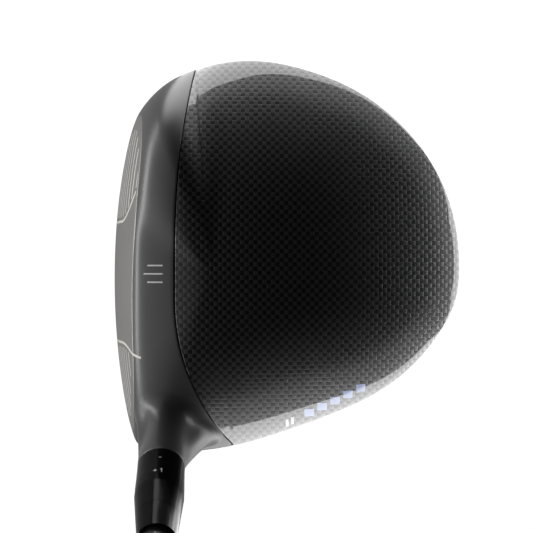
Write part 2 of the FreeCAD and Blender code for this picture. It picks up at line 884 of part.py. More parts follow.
weight_screw = on_track(boolean("Cut", "weight_screw", weight_screw_blank, weight_socket))


# ---------------------------------------------------------------- checks and export


NODES = [
    face_plate,
    front_frame,
    crown_panel,
    sole_panel,
    seam_bond,
    hosel_cog,
    screw_washer,
    hosel_screw,
    weight_track,
    weight_shoe,
    weight_clamp,
    weight_screw,
    shaft_sleeve,
    cog_retainer,
    lie_ring,
    loft_ring,
    tip_epoxy,
    tip_plug,
    ferrule,
    shaft,
    grip_tape,
    grip,
    grip_cap,
]

doc.recompute()
broken = [x.Label for x in doc.Objects if "Invalid" in x.State or "Error" in x.State]
if broken:
    raise RuntimeError(f"objects that failed to build: {broken}")
for node in NODES:
    if node.Shape.isNull() or not node.Shape.isValid() or not node.Shape.Solids:
        raise RuntimeError(f"{node.Label} has no valid solid")

os.makedirs("parts", exist_ok=True)
for node in NODES:
    node.Shape.exportStep(f"parts/{node.Label}.step")
    volume = node.Shape.Volume / 1000
    print(f"{node.Label:14} {len(node.Shape.Solids)} solid, {volume:8.3f} cm3")
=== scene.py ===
"""Looks of a golf driver at address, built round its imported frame.

The head is worked out again from its own formula, so that the carbon crown, the metal front, the
face and the hosel are smooth closed sheets. Round pieces are profiles carried about the hosel line.
Lengths are in millimetres until a mesh is made, and the frame is in metres.
"""

from contextlib import contextmanager
import json
import math

import bmesh
import bpy
import numpy as np
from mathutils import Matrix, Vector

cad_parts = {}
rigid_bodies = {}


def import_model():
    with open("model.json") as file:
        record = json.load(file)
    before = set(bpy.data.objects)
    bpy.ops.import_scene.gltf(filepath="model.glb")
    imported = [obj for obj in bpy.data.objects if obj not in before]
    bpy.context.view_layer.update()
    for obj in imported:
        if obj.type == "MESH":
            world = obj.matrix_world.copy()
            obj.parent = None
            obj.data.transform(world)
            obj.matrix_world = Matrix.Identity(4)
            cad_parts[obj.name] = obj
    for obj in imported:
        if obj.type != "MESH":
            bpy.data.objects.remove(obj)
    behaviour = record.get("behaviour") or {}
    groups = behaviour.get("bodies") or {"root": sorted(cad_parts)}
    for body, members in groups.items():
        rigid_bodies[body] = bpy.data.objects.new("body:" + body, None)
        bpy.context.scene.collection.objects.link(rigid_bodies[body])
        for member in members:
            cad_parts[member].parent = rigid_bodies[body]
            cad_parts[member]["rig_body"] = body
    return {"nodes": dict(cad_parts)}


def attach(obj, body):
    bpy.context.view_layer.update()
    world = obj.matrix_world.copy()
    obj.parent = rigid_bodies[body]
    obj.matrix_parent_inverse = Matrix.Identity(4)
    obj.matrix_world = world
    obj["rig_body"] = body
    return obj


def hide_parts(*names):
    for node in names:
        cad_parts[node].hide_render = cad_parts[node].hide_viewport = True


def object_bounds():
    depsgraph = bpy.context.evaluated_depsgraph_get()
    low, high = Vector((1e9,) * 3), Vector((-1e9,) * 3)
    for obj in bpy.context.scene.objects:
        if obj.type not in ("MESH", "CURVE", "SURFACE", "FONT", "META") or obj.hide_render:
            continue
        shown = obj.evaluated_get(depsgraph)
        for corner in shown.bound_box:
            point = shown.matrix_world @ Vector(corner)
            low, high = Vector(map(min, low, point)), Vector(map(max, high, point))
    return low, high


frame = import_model()
cad_box = [[float(v) for v in corner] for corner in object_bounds()]

MM = 0.001
RIGHT_ANGLE = math.pi / 2
FULL_TURN = 2 * math.pi

# ---- dimensions of the head

# Widest outline seen from above, toe side first, carried on ahead of the face.
HEAD_OUTLINE = [
    (60.3, 1.0), (57.9, 18.0), (49.2, 36.0), (32.3, 52.4), (12.0, 61.6), (-8.0, 64.3), (-27.0, 59.7),
    (-38.5, 50.5), (-52.0, 36.0), (-66.0, 18.0), (-70.0, -4.0), (-66.0, -26.0), (-54.0, -46.0),
    (-37.0, -57.0), (-14.0, -56.7), (6.0, -51.3), (30.6, -41.6), (47.7, -28.9), (57.9, -14.0),
]

# Edge of the face seen from the front: toe-heel place and height.
FACE_OUTLINE = [
    (46.8, 31.0), (43.5, 43.0), (34.0, 50.5), (20.0, 53.2), (0.0, 53.2), (-18.0, 51.0), (-34.0, 44.8),
    (-47.0, 34.5), (-51.5, 25.5), (-44.0, 15.5), (-25.0, 8.8), (0.0, 6.8), (22.0, 9.8), (37.0, 17.5),
]

CROWN_HEIGHT = 62.0
EQUATOR_HEIGHT = 27.0
SPLIT_HEIGHT = 26.4
CROWN_APEX = np.array([-16.0, -2.0])
CROWN_ROUND = 2.0
CROWN_DROP = 1.08
SHOULDER_ANGLE = 112.0
SHOULDER_WIDTHS = (25.0, 13.0)
SHOULDER_ROUND = 2.2
SHOULDER_DROP = 0.6
SOLE_ROUND = 2.6
SOLE_DROP = 1.6
LAND_SHARE = 0.22
SHELL_WALL = 1.5
FACE_MIDDLE = np.array([-45.6, -4.0, 31.0])
FACE_RADIUS = 254.0
FACE_LOFT = math.radians(10.5)
FACE_BLEND = 1.3
FACE_CENTRE = FACE_MIDDLE + FACE_RADIUS * np.array([math.cos(FACE_LOFT), 0.0, -math.sin(FACE_LOFT)])

SEAM_FRONT = 27.3
SEAM_TOE_RADIUS = 365.0
SEAM_HEEL_RADIUS = 70.0
SEAM_HEEL_START = 10.0
SOLE_SEAM_BACK = 12.0
BOND_WIDTH = 0.35

# ---- dimensions along the hosel line

LIE_TILT = math.radians(32.0)
HOSEL_MOUTH = np.array([-31.4, -59.9, 60.0])
UP_SHAFT = np.array([0.0, -math.sin(LIE_TILT), math.cos(LIE_TILT)])
TO_TOE = np.array([0.0, math.cos(LIE_TILT), math.sin(LIE_TILT)])
TO_BACK = np.array([1.0, 0.0, 0.0])
HOSEL_RADIUS = 7.1
HOSEL_TUBE_RADIUS = 6.9
HOSEL_BORE = 5.25
HOSEL_BORE_DEPTH = 34.0
MOUTH_RADIUS = 5.95
MOUTH_DEPTH = 3.0
WEB_DEPTH = 50.0
SCREW_HOLE = 2.75
PORT_RADIUS = 5.6
PORT_RIM = 7.8


# ---- curves and meshes


def spline_control(points):
    """Control points of the closed cubic spline through the points.

    A point of the spline is one sixth of its control point's neighbours and four sixths of itself.
    """
    points = np.array(points, float)
    ones = np.eye(len(points))
    weights = (4 * ones + np.roll(ones, 1, 0) + np.roll(ones, -1, 0)) / 6
    return np.linalg.solve(weights, points)


def spline_at(control, turn):
    """Points of a closed cubic spline; turn runs from 0 to 1 once round."""
    count = len(control)
    place = np.mod(turn, 1.0) * count
    first = np.floor(place).astype(int)
    t = (place - first)[..., None]
    weights = [(1 - t) ** 3, 3 * t**3 - 6 * t**2 + 4, -3 * t**3 + 3 * t**2 + 3 * t + 1, t**3]
    return sum(w * control[(first + k - 1) % count] for k, w in enumerate(weights)) / 6


HEAD_CONTROL = spline_control(HEAD_OUTLINE)
FACE_CONTROL = spline_control(FACE_OUTLINE)


def unit(vectors):
    """Each vector divided by its own length."""
    return vectors / np.linalg.norm(vectors, axis=-1, keepdims=True)


def crossing(inside, low, high, steps=42):
    """Where inside(x) turns false between low, where it is true, and high: the gap is halved each step."""
    low, high = np.array(low, float), np.array(high, float)
    for _ in range(steps):
        middle = (low + high) / 2
        keep = inside(middle)
        low, high = np.where(keep, middle, low), np.where(keep, high, middle)
    return (low + high) / 2


def placed(name, data):
    """An object made from its data and put in the scene."""
    made = bpy.data.objects.new(name, data)
    bpy.context.scene.collection.objects.link(made)
    return made


@contextmanager
def edited(mesh):
    """A mesh opened for editing and written back."""
    work = bmesh.new()
    work.from_mesh(mesh)
    yield work
    work.to_mesh(mesh)
    work.free()


def shade_smooth(mesh, angle):
    """Shades a mesh smooth, but for edges that bend by more than the angle."""
    mesh.polygons.foreach_set("use_smooth", np.ones(len(mesh.polygons), bool))
    mesh.set_sharp_from_angle(angle=math.radians(angle))


def new_piece(name, points, faces, smooth_angle=35.0):
    """A mesh object from points in millimetres and corner lists, with doubles merged and outward faces."""
    mesh = bpy.data.meshes.new(name)
    mesh.from_pydata((points * MM).reshape(-1, 3), [], faces)
    with edited(mesh) as work:
        bmesh.ops.remove_doubles(work, verts=work.verts, dist=2e-6)
        bmesh.ops.dissolve_degenerate(work, edges=work.edges, dist=1e-7)
        bmesh.ops.recalc_face_normals(work, faces=work.faces)
    shade_smooth(mesh, smooth_angle)
    return placed(name, mesh)


def grid_faces(rows, columns, wrap_rows=False, wrap_columns=True, start=0):
    """Corner numbers of the quads between neighbouring rows and columns of a grid of points."""
    r = np.arange(rows if wrap_rows else rows - 1)
    c = np.arange(columns if wrap_columns else columns - 1)
    r, c = (a.ravel() for a in np.meshgrid(r, c, indexing="ij"))
    below, beside = (r + 1) % rows, (c + 1) % columns
    corners = [r * columns + c, r * columns + beside, below * columns + beside, below * columns + c]
    return (np.stack(corners, 1) + start).tolist()


def grid_piece(name, grid, wrap_rows=False, wrap_columns=True, smooth_angle=35.0):
    """A piece from one grid of points, rows by columns by three."""
    rows, columns = grid.shape[:2]
    return new_piece(name, grid, grid_faces(rows, columns, wrap_rows, wrap_columns), smooth_angle)


def joined_piece(name, grids):
    """One piece from several grids, each closed across its columns."""
    faces = []
    start = 0
    for grid in grids:
        faces += grid_faces(grid.shape[0], grid.shape[1], start=start)
        start += grid.shape[0] * grid.shape[1]
    return new_piece(name, np.concatenate([g.reshape(-1, 3) for g in grids]), faces)


# ---- the head's formula


def fullness(angle, upper):
    """Roundness and drop of the side by its direction from the crown's apex; the toe shoulder is fuller."""
    away = np.degrees(angle) - SHOULDER_ANGLE
    width = np.where(away > 0, *SHOULDER_WIDTHS)
    shoulder = np.where(angle > 0, np.exp(-((away / width) ** 2)), 0.0)
    full = np.where(upper, CROWN_ROUND + SHOULDER_ROUND * shoulder, SOLE_ROUND)
    return full, np.where(upper, CROWN_DROP + SHOULDER_DROP * shoulder, SOLE_DROP)


def behind_face(points, inset=0.0):
    """Points drawn back along lines to the face sphere's centre, softly, until they are inside it."""
    away = points - FACE_CENTRE
    reach = np.linalg.norm(away, axis=-1, keepdims=True)
    over = (reach - (FACE_RADIUS - inset)) / FACE_BLEND
    return FACE_CENTRE + away * (reach - FACE_BLEND * np.logaddexp(0, over)) / reach


def head_at(turn, rise, inset=0.0):
    """The head's skin: turn goes round the outline, rise from the apex (0) by the equator to the sole (pi).

    The share of the way out is the sine of rise to the power of two over the roundness, and the height
    is its cosine to the power of two over the drop, as on a rounded box. The front is then drawn back
    onto the face sphere. Inset makes the same shape smaller, for the inside of the shell.
    """
    turn, rise = np.broadcast_arrays(turn, rise)
    edge = spline_at(HEAD_CONTROL, turn)
    upper = rise <= RIGHT_ANGLE
    angle = np.where(upper, rise, math.pi - rise)
    from_apex = edge - CROWN_APEX
    full, drop = fullness(np.arctan2(from_apex[..., 1], from_apex[..., 0]), upper)
    share = np.sin(angle).clip(0) ** (2 / full)
    share = np.where(upper, share, LAND_SHARE + (1 - LAND_SHARE) * share)
    lift = np.cos(angle).clip(0) ** (2 / drop)
    middle = np.where(upper[..., None], CROWN_APEX, 0.0)
    far = np.linalg.norm(edge - middle, axis=-1)
    across = middle + (edge - middle) * (share * (far - inset) / far)[..., None]
    crown = EQUATOR_HEIGHT + (CROWN_HEIGHT - inset - EQUATOR_HEIGHT) * lift
    sole = EQUATOR_HEIGHT - (EQUATOR_HEIGHT - inset) * lift
    height = np.where(upper, crown, sole)
    return behind_face(np.concatenate([across, height[..., None]], -1), inset)


def reach_of(control, count, middle, bearing):
    """How far a closed spline is from a middle point in each direction, read from count of its points."""
    spots = spline_at(control, np.linspace(0, 1, count, endpoint=False)) - middle
    bearings = np.arctan2(spots[:, 1], spots[:, 0])
    return np.interp(bearing, bearings, np.linalg.norm(spots, axis=1), period=FULL_TURN)


def outline_reach(middle, bearing):
    """How far the outline is from a middle point in each direction, in plan."""
    return reach_of(HEAD_CONTROL, 1500, middle, bearing)


def sideways(across, upper):
    """Share of the way out to the outline, and the roundness and drop there."""
    from_apex = across - CROWN_APEX
    angle = np.arctan2(from_apex[..., 1], from_apex[..., 0])
    crown = np.linalg.norm(from_apex, axis=-1) / outline_reach(CROWN_APEX, angle)
    bearing = np.arctan2(across[..., 1], across[..., 0])
    sole = np.linalg.norm(across, axis=-1) / outline_reach(np.zeros(2), bearing)
    sole = ((sole - LAND_SHARE) / (1 - LAND_SHARE)).clip(0)
    return np.where(upper, crown, sole), *fullness(angle, upper)


def inside_head(points):
    """Whether points are inside the skin.

    The face's pull is undone; then the share out to the power of the roundness and the share up to the
    power of the drop add to less than one.
    """
    away = points - FACE_CENTRE
    reach = np.linalg.norm(away, axis=-1)
    depth = (FACE_RADIUS - reach) / FACE_BLEND
    free = FACE_RADIUS - FACE_BLEND * np.log(np.expm1(depth.clip(1e-6, 200)))
    raw = FACE_CENTRE + away * (free / reach)[..., None]
    upper = raw[..., 2] > EQUATOR_HEIGHT
    share, full, drop = sideways(raw[..., :2], upper)
    tall = np.where(upper, CROWN_HEIGHT - EQUATOR_HEIGHT, EQUATOR_HEIGHT)
    lift = np.abs(raw[..., 2] - EQUATOR_HEIGHT) / tall
    return (depth > 1e-6) & (share**full + lift**drop < 1)


def cast_out(start, ways, reach):
    """Where rays from inside the head meet its skin, within a reach where they are surely outside."""
    none = np.zeros(ways.shape[:-1])
    distance = crossing(lambda t: inside_head(start + ways * t[..., None]), none, none + reach)
    return start + ways * distance[..., None]


HEAD_CORE = np.array([-5.0, -5.0, 25.0])
OUT_OF_HEAD = 120.0
NORMAL_STEP = 0.6
SLANT = np.array([0.3, 0.2, 1.0])


def skin_normal(points):
    """Outward normals of the skin, from where rays a small step to each side of a point meet it."""
    way = unit(points - HEAD_CORE)
    side = unit(np.cross(way, SLANT))
    other = np.cross(way, side)
    spots = [
        cast_out(HEAD_CORE, unit(points + NORMAL_STEP * v - HEAD_CORE), OUT_OF_HEAD)
        for v in (side, -side, other, -other)
    ]
    normal = unit(np.cross(spots[0] - spots[1], spots[2] - spots[3]))
    return normal * np.sign((normal * way).sum(-1, keepdims=True))


def crown_spot(across):
    """The crown's skin over places given in plan."""
    share, full, drop = sideways(across, np.ones(across.shape[:-1], bool))
    height = EQUATOR_HEIGHT + (CROWN_HEIGHT - EQUATOR_HEIGHT) * (1 - share**full).clip(0) ** (1 / drop)
    return behind_face(np.concatenate([across, height[..., None]], -1))


def seam_line(y):
    """Where the seam runs behind the face: a wide arc towards the toe and a tighter one towards the heel."""
    toe = SEAM_TOE_RADIUS - np.sqrt(SEAM_TOE_RADIUS**2 - y.clip(0) ** 2)
    past_middle = (y + SEAM_HEEL_START).clip(None, 0)
    heel = SEAM_HEEL_RADIUS - np.sqrt((SEAM_HEEL_RADIUS**2 - past_middle**2).clip(0))
    return toe + heel - SEAM_FRONT


def behind_seam(points, shift):
    """Whether points lie behind the seam moved back by shift."""
    return points[..., 0] > seam_line(points[..., 1]) + shift


# Rise at which the crown and the sole meet, just below the equator.
SPLIT_RISE = math.pi - math.acos((1 - SPLIT_HEIGHT / EQUATOR_HEIGHT) ** (SOLE_DROP / 2))
SEAM_SEARCH = np.linspace(0.15, 0.95, 801)


def seam_corners(shift):
    """Turns, toe first, at which the seam meets the line between crown and sole."""

    def behind(turn):
        return behind_seam(head_at(turn, SPLIT_RISE), shift)

    rear = behind(SEAM_SEARCH)
    toe = int(np.argmin(rear))
    heel = len(rear) - 1 - int(np.argmin(rear[::-1]))
    ends = ((toe - 1, toe), (heel + 1, heel))
    return [float(crossing(behind, SEAM_SEARCH[a], SEAM_SEARCH[b])) for a, b in ends]


def rounded_edge(radius, steps=4):
    """Shares of the radius kept from the edge, and depths, along a quarter round going over an edge."""
    turn = np.linspace(0, RIGHT_ANGLE, steps)
    return 1 - np.sin(turn), radius * (1 - np.cos(turn))


def sheet_rows(turns, rises, depths):
    """Points of a shell: rows of rise, each with its depth in from the skin towards the inner skin."""
    outer = head_at(turns[None, :], rises)
    inner = head_at(turns[None, :], rises, SHELL_WALL)
    return outer + (inner - outer) * (depths / SHELL_WALL)[..., None]


SMALL_RISE = 0.004
MOST_RISE = 0.05


def edge_step(turns, edge, towards, radius):
    """Change of rise that is one radius of distance back from an edge."""
    moved = np.linalg.norm(head_at(turns, edge + SMALL_RISE * towards) - head_at(turns, edge), axis=-1)
    return (radius / (moved / SMALL_RISE)).clip(0, MOST_RISE) * towards


# ---- pieces of the head

EDGE_ROUND = 0.3
CROWN_TURNS = (300, 150)
CROWN_ROWS = 96


def crown_panel():
    """The carbon crown: profiles from the apex to the seam or the split, over the edge and back inside."""
    toe, heel = seam_corners(0.0)
    rear = np.linspace(heel, toe + 1, CROWN_TURNS[0], endpoint=False)
    front = np.linspace(toe, heel, CROWN_TURNS[1], endpoint=False)
    turns = np.concatenate([rear, front])
    full = np.full(len(turns), SPLIT_RISE)
    seam = crossing(lambda r: behind_seam(head_at(turns, r), 0.0), 0 * full, full)
    edge = np.where(behind_seam(head_at(turns, full), 0.0), full, seam)
    edge[0] = edge[CROWN_TURNS[0]] = SPLIT_RISE
    back = edge_step(turns, edge, -1, EDGE_ROUND)
    kept, depth = rounded_edge(EDGE_ROUND)
    fan = np.linspace(0, 1, CROWN_ROWS)[:, None] * (edge + back)
    over = edge + back * kept[1:, None]
    under = np.linspace(1, 0, CROWN_ROWS // 3)[:, None] * edge
    rises = np.concatenate([fan, over, under])
    depths = np.concatenate([0 * fan, depth[1:, None] + 0 * over, SHELL_WALL + 0 * under])
    return grid_piece("crown_shell", sheet_rows(turns, rises, depths), smooth_angle=50)


FACE_HEART = np.array([0.0, 30.0])


def face_edge(bearing):
    """How far the face's edge is from its heart in each direction, seen from the front."""
    return reach_of(FACE_CONTROL, 2000, FACE_HEART, bearing)


def inside_face(points):
    """Distance in from the face's edge, in millimetres, measured along the line to its heart."""
    spots = points[..., 1:] - FACE_HEART
    return face_edge(np.arctan2(spots[..., 1], spots[..., 0])) - np.linalg.norm(spots, axis=-1)


def ease(values, low, high):
    """Zero below low and one above high, with a smooth step between."""
    t = ((values - low) / (high - low)).clip(0, 1)
    return t * t * (3 - 2 * t)


def off_hosel_line(points):
    """The part of each place's distance from the mouth that stands square off the hosel line."""
    away = points - HOSEL_MOUTH
    return away - (away @ UP_SHAFT)[..., None] * UP_SHAFT


SEAT_DEPTH = 0.5
SEAT_WALL = (0.7, 1.7)
SEAT_BACK = -20.0
PORT_LAP = 1.0
PORT_TOP = 20.0
FRONT_TURNS = (26, 230, 26)
FRONT_ROWS = (64, 84, 40)


def front_shell():
    """The metal front: profiles from the crown seam over the equator to the sole seam, and back inside.

    The face's place is let in by half a millimetre, and the port for the hosel screw is left open.
    """
    shift = SOLE_SEAM_BACK - BOND_WIDTH
    toe_low, heel_low = seam_corners(shift)
    toe, heel = seam_corners(-BOND_WIDTH)
    stops = (toe_low, toe, heel, heel_low)
    parts = [np.linspace(a, b, n, endpoint=False) for a, b, n in zip(stops, stops[1:], FRONT_TURNS)]
    turns = np.concatenate(parts + [[heel_low]])
    level = np.full(len(turns), SPLIT_RISE)
    seam = crossing(lambda r: behind_seam(head_at(turns, r), -BOND_WIDTH), 0 * level, level)
    top = np.where(behind_seam(head_at(turns, level), -BOND_WIDTH), level, seam)
    bottom = crossing(lambda r: ~behind_seam(head_at(turns, r), shift), level, 0 * level + math.pi)
    bottom[0] = bottom[-1] = SPLIT_RISE
    middle = np.maximum(top, RIGHT_ANGLE)
    room = (bottom - top) / 3
    down = np.minimum(edge_step(turns, top, 1, EDGE_ROUND), room)
    up = np.maximum(edge_step(turns, bottom, -1, EDGE_ROUND), -room)
    kept, depth = rounded_edge(EDGE_ROUND)
    top_over = top + down * kept[::-1, None]
    first = top + down
    upper = np.linspace(0, 1, FRONT_ROWS[0])[:, None] * (np.maximum(middle, first) - first) + first
    start = upper[-1]
    lower = np.linspace(0, 1, FRONT_ROWS[1])[1:, None] * (bottom + up - start) + start
    bottom_over = bottom + up * kept[1:, None]
    under = np.linspace(0, 1, FRONT_ROWS[2])[:, None] * (top - bottom) + bottom
    rises = np.concatenate([top_over, upper[1:], lower, bottom_over, under])
    depths = np.concatenate([
        depth[::-1, None] + 0 * top_over,
        0 * upper[1:],
        0 * lower,
        depth[1:, None] + 0 * bottom_over,
        SHELL_WALL + 0 * under,
    ])
    points = head_at(turns[None, :], rises)
    seat = SEAT_DEPTH * ease(inside_face(points), *SEAT_WALL) * (points[..., 0] < SEAT_BACK)
    points = sheet_rows(turns, rises, np.maximum(depths, seat))
    rows, columns = rises.shape
    faces = np.array(grid_faces(rows, columns, wrap_rows=True, wrap_columns=False))
    spots = points.reshape(-1, 3)
    radius = np.linalg.norm(off_hosel_line(spots), axis=1)
    in_port = (radius < PORT_RIM - PORT_LAP) & (spots[:, 2] < PORT_TOP)
    faces = faces[~in_port[faces].any(1)]
    return new_piece("front_shell", points, faces.tolist(), 50)


FACE_DEPTH = 20.0


def face_spots(across, lift):
    """Points over the face at places seen from the front, each standing proud of the skin by lift."""
    away = across - FACE_CENTRE[1:]
    back = -np.sqrt(FACE_RADIUS**2 - (away**2).sum(-1))
    ways = unit(np.concatenate([back[..., None], away], -1))
    skin = cast_out(FACE_CENTRE + ways * (FACE_RADIUS - FACE_DEPTH), ways, FACE_DEPTH)
    return skin + ways * np.asarray(lift)[..., None]


PLATE_LIP = 0.05
PLATE_THICKNESS = 1.2
LIP_FADE = (1.5, 6.0)
LIP_INSETS = np.array([0.18, 0.08, 0.0])
LIP_LIFTS = np.array([0.02, -0.04, -0.2])
FACE_AROUND = 288


def face_plate():
    """The face: rings from its heart to its edge on the skin, over a small rounded lip, and back inside."""
    bearing = np.linspace(0, FULL_TURN, FACE_AROUND, endpoint=False)
    reach = face_edge(bearing)
    way = np.stack([np.cos(bearing), np.sin(bearing)], -1)
    outward = np.linspace(0, 1, 70)[:, None] * (reach - 0.3)
    lip = reach - LIP_INSETS[:, None]
    inward = np.linspace(1, 0, 14)[:, None] * reach
    radius = np.concatenate([outward, lip, inward])
    proud = PLATE_LIP * (1 - ease(reach - outward, *LIP_FADE))
    lift = np.concatenate([proud, LIP_LIFTS[:, None] + 0 * lip, 0 * inward - PLATE_THICKNESS])
    grid = face_spots(FACE_HEART + way * radius[..., None], lift)
    return grid_piece("face_insert", grid, smooth_angle=60)


def hosel_points(radius, depth, bearing):
    """Points about the hosel line: depth goes down from the mouth, bearing from the rear to the toe."""
    radius, depth, bearing = np.broadcast_arrays(radius, depth, bearing)
    side = np.cos(bearing)[..., None] * TO_BACK + np.sin(bearing)[..., None] * TO_TOE
    return HOSEL_MOUTH + radius[..., None] * side - depth[..., None] * UP_SHAFT


NECK_AROUND = 144
NECK_ROWS = 44
NECK_STRAIGHT = 0.8
NECK_FOOT_DEPTH = 24.0
NECK_REACH = 11.5
NECK_REACH_BACK = 1.0
HEEL_LOBE = (math.radians(-48), 0.6)
HEEL_LOBE_REACH = 10.5
FACE_LOBE = (math.radians(-160), 0.5)
FACE_LOBE_REACH = 5.0
NECK_DOWN_PULL = (0.75, 0.3)
NECK_OUT_PULL = (1.05, 0.45)
NECK_CORE = np.array([-12.0, -22.0, 22.0])
INSIDE_SOLE = 40.0


def lobe_share(bearing, middle, width):
    """A smooth bump of height one about the middle bearing."""
    away = np.mod(bearing - middle + math.pi, 2 * math.pi) - math.pi
    return np.exp(-((away / width) ** 2))


def neck():
    """The hosel with its fillet, its bore and the screw port, as one closed tube.

    The fillet is a cubic that leaves the hosel along its axis and lands along the head's skin. Its
    footprint reaches furthest between heel and rear, and a little further ahead towards the face. In
    those two lobes the cubic is pulled less at both ends, so the fillet is nearly straight there.
    """
    bearing = np.linspace(0, FULL_TURN, NECK_AROUND, endpoint=False)
    side = np.cos(bearing)[:, None] * TO_BACK + np.sin(bearing)[:, None] * TO_TOE
    heel_lobe = lobe_share(bearing, *HEEL_LOBE)
    face_lobe = lobe_share(bearing, *FACE_LOBE)
    foot_reach = NECK_REACH + NECK_REACH_BACK * np.cos(bearing)
    foot_reach += HEEL_LOBE_REACH * heel_lobe + FACE_LOBE_REACH * face_lobe
    target = HOSEL_MOUTH - NECK_FOOT_DEPTH * UP_SHAFT + foot_reach[:, None] * side
    foot = cast_out(NECK_CORE, unit(target - NECK_CORE), OUT_OF_HEAD)
    normal = skin_normal(foot)
    leave = unit(side - (side * normal).sum(-1, keepdims=True) * normal)
    start = hosel_points(HOSEL_RADIUS, NECK_STRAIGHT, bearing)
    span = np.linalg.norm(foot - start, axis=-1, keepdims=True)
    lobes = np.maximum(heel_lobe, face_lobe)[:, None]
    down_pull, out_pull = (
        plain + (lobed - plain) * lobes for plain, lobed in (NECK_DOWN_PULL, NECK_OUT_PULL)
    )
    t = np.linspace(0, 1, NECK_ROWS)[:, None, None]
    blend = (
        (2 * t**3 - 3 * t**2 + 1) * start
        + (t**3 - 2 * t**2 + t) * (-UP_SHAFT * span * down_pull)
        + (3 * t**2 - 2 * t**3) * foot
        + (t**3 - t**2) * (leave * span * out_pull)
    )
    tail = foot + 1.2 * leave - 0.5 * normal
    sink = foot - 2.0 * normal

    def rings(*places):
        return [hosel_points(radius, depth, bearing)[None] for radius, depth in places]

    def exit_ring(radius, lift):
        inner = hosel_points(radius, INSIDE_SOLE, bearing)
        return (cast_out(inner, np.broadcast_to(-UP_SHAFT, inner.shape), INSIDE_SOLE) + lift * UP_SHAFT)[None]

    loop = [
        *rings(
            (HOSEL_BORE, HOSEL_BORE_DEPTH), (HOSEL_BORE, MOUTH_DEPTH), (MOUTH_RADIUS, MOUTH_DEPTH),
            (MOUTH_RADIUS, 0.15), (MOUTH_RADIUS + 0.15, 0.0), (HOSEL_RADIUS - 0.3, 0.0),
            (HOSEL_RADIUS - 0.1, 0.08), (HOSEL_RADIUS, 0.3),
        ),
        blend,
        tail[None],
        sink[None],
        *rings((HOSEL_TUBE_RADIUS, NECK_FOOT_DEPTH + 12), (HOSEL_TUBE_RADIUS, WEB_DEPTH)),
        exit_ring(PORT_RIM, 1.2),
        exit_ring(PORT_RIM, 0.05),
        exit_ring(PORT_RIM - 0.3, -0.02),
        exit_ring(PORT_RADIUS + 0.4, -0.02),
        exit_ring(PORT_RADIUS, 0.4),
        *rings((PORT_RADIUS, WEB_DEPTH), (SCREW_HOLE, WEB_DEPTH), (SCREW_HOLE, HOSEL_BORE_DEPTH)),
    ]
    return grid_piece("hosel", np.concatenate(loop), wrap_rows=True, smooth_angle=40)


# ---- lines and marks


RIBBON_ROOT = 0.15
RIBBON_TOP = 0.7


def ribbon(path, across, normal, width, height):
    """A thin raised strip: six points round its section at each place, closed to a point at both ends."""
    right = [(width / 2, -RIBBON_ROOT), (width / 2, 0.0), (RIBBON_TOP * width / 2, height)]
    section = [(-s, h) for s, h in right] + right[::-1]
    rows = np.stack([path + s * across + h * normal for s, h in section], 1)
    middles = rows.mean(1, keepdims=True) + 0 * rows
    return np.concatenate([middles[:1], rows, middles[-1:]])


def face_ribbon(across, width, height=0.05):
    """A strip on the face along places seen from the front."""
    spots = face_spots(across, np.zeros(len(across)))
    normal = unit(spots - FACE_CENTRE)
    side = unit(np.cross(normal, np.gradient(spots, axis=0)))
    return ribbon(spots, side, normal, width, height)


SCORE_HEIGHTS = np.arange(15.5, 52.0, 4.4)
SCORE_WIDTH = 0.75
SCORE_FROM_BRACKET = 1.4
SCORE_FROM_EDGE = 4.6
SCORE_SHORTEST = 4.0
BRACKET_HEIGHTS = np.linspace(13.0, 51.2, 40)
BRACKET_WIDTH = 0.8
BRACKET_PROUD = 0.07

# Place and height of each bracket line where it starts to bend and near its top.
TOE_BRACKET = ((14.0, 31.0), (21.8, 50.0))
HEEL_BRACKET = ((-23.6, 31.0), (-27.3, 50.0))


def bracket_place(bracket, height):
    """Toe-heel place of a bracket line at a height: upright at first, then a parabola to its top."""
    (low, floor), (high, top) = bracket
    share = np.maximum(height - floor, 0.0) / (top - floor)
    return low + (high - low) * share**2


def face_end(side, height):
    """Toe-heel place where the face's edge is met at a height, on the toe (1) or heel (-1) side."""
    probe = crossing(lambda y: inside_face(np.array([0.0, float(y) * side, height])) > 0, 5.0, 60.0, 24)
    return float(probe) * side


def score_lines():
    """Score lines each side of the clear middle, stopping short of the face's edge."""
    rows = []
    for bracket, side in ((TOE_BRACKET, 1), (HEEL_BRACKET, -1)):
        for height in SCORE_HEIGHTS:
            inner = bracket_place(bracket, height) + SCORE_FROM_BRACKET * side
            outer = face_end(side, height) - SCORE_FROM_EDGE * side
            if (outer - inner) * side > SCORE_SHORTEST:
                y = np.linspace(inner, outer, 24)
                rows.append(face_ribbon(np.stack([y, 0 * y + height], -1), SCORE_WIDTH))
    return joined_piece("score_lines", rows)


def bracket_lines():
    """The two curved lines that frame the middle of the face."""
    rows = []
    for bracket in (TOE_BRACKET, HEEL_BRACKET):
        path = np.stack([bracket_place(bracket, BRACKET_HEIGHTS), BRACKET_HEIGHTS], -1)
        rows.append(face_ribbon(path, BRACKET_WIDTH, BRACKET_PROUD))
    return joined_piece("face_brackets", rows)


def crown_ribbon(start, end, width, height=0.03, places=14):
    """A strip on the crown between two places in plan."""
    start, end = np.array(start), np.array(end)
    path = crown_spot(start + (end - start) * np.linspace(0, 1, places)[:, None])
    way = unit(np.gradient(path, axis=0))
    beside = unit(np.array([start[1] - end[1], end[0] - start[0]]))
    side = unit(crown_spot(path[:, :2] + 0.5 * beside) - path)
    normal = unit(np.cross(way, side))
    normal *= np.sign(normal[:, 2:])
    return ribbon(path, side, normal, width, height)


# The aim lines: their middle across the head, width, and front end, back end and offset of each.
AIM_PLACE = -2.2
AIM_WIDTH = 0.45
AIM_LINES = ((-37.0, -31.0, 0.0), (-35.8, -31.0, 2.5), (-35.8, -31.0, -2.5))


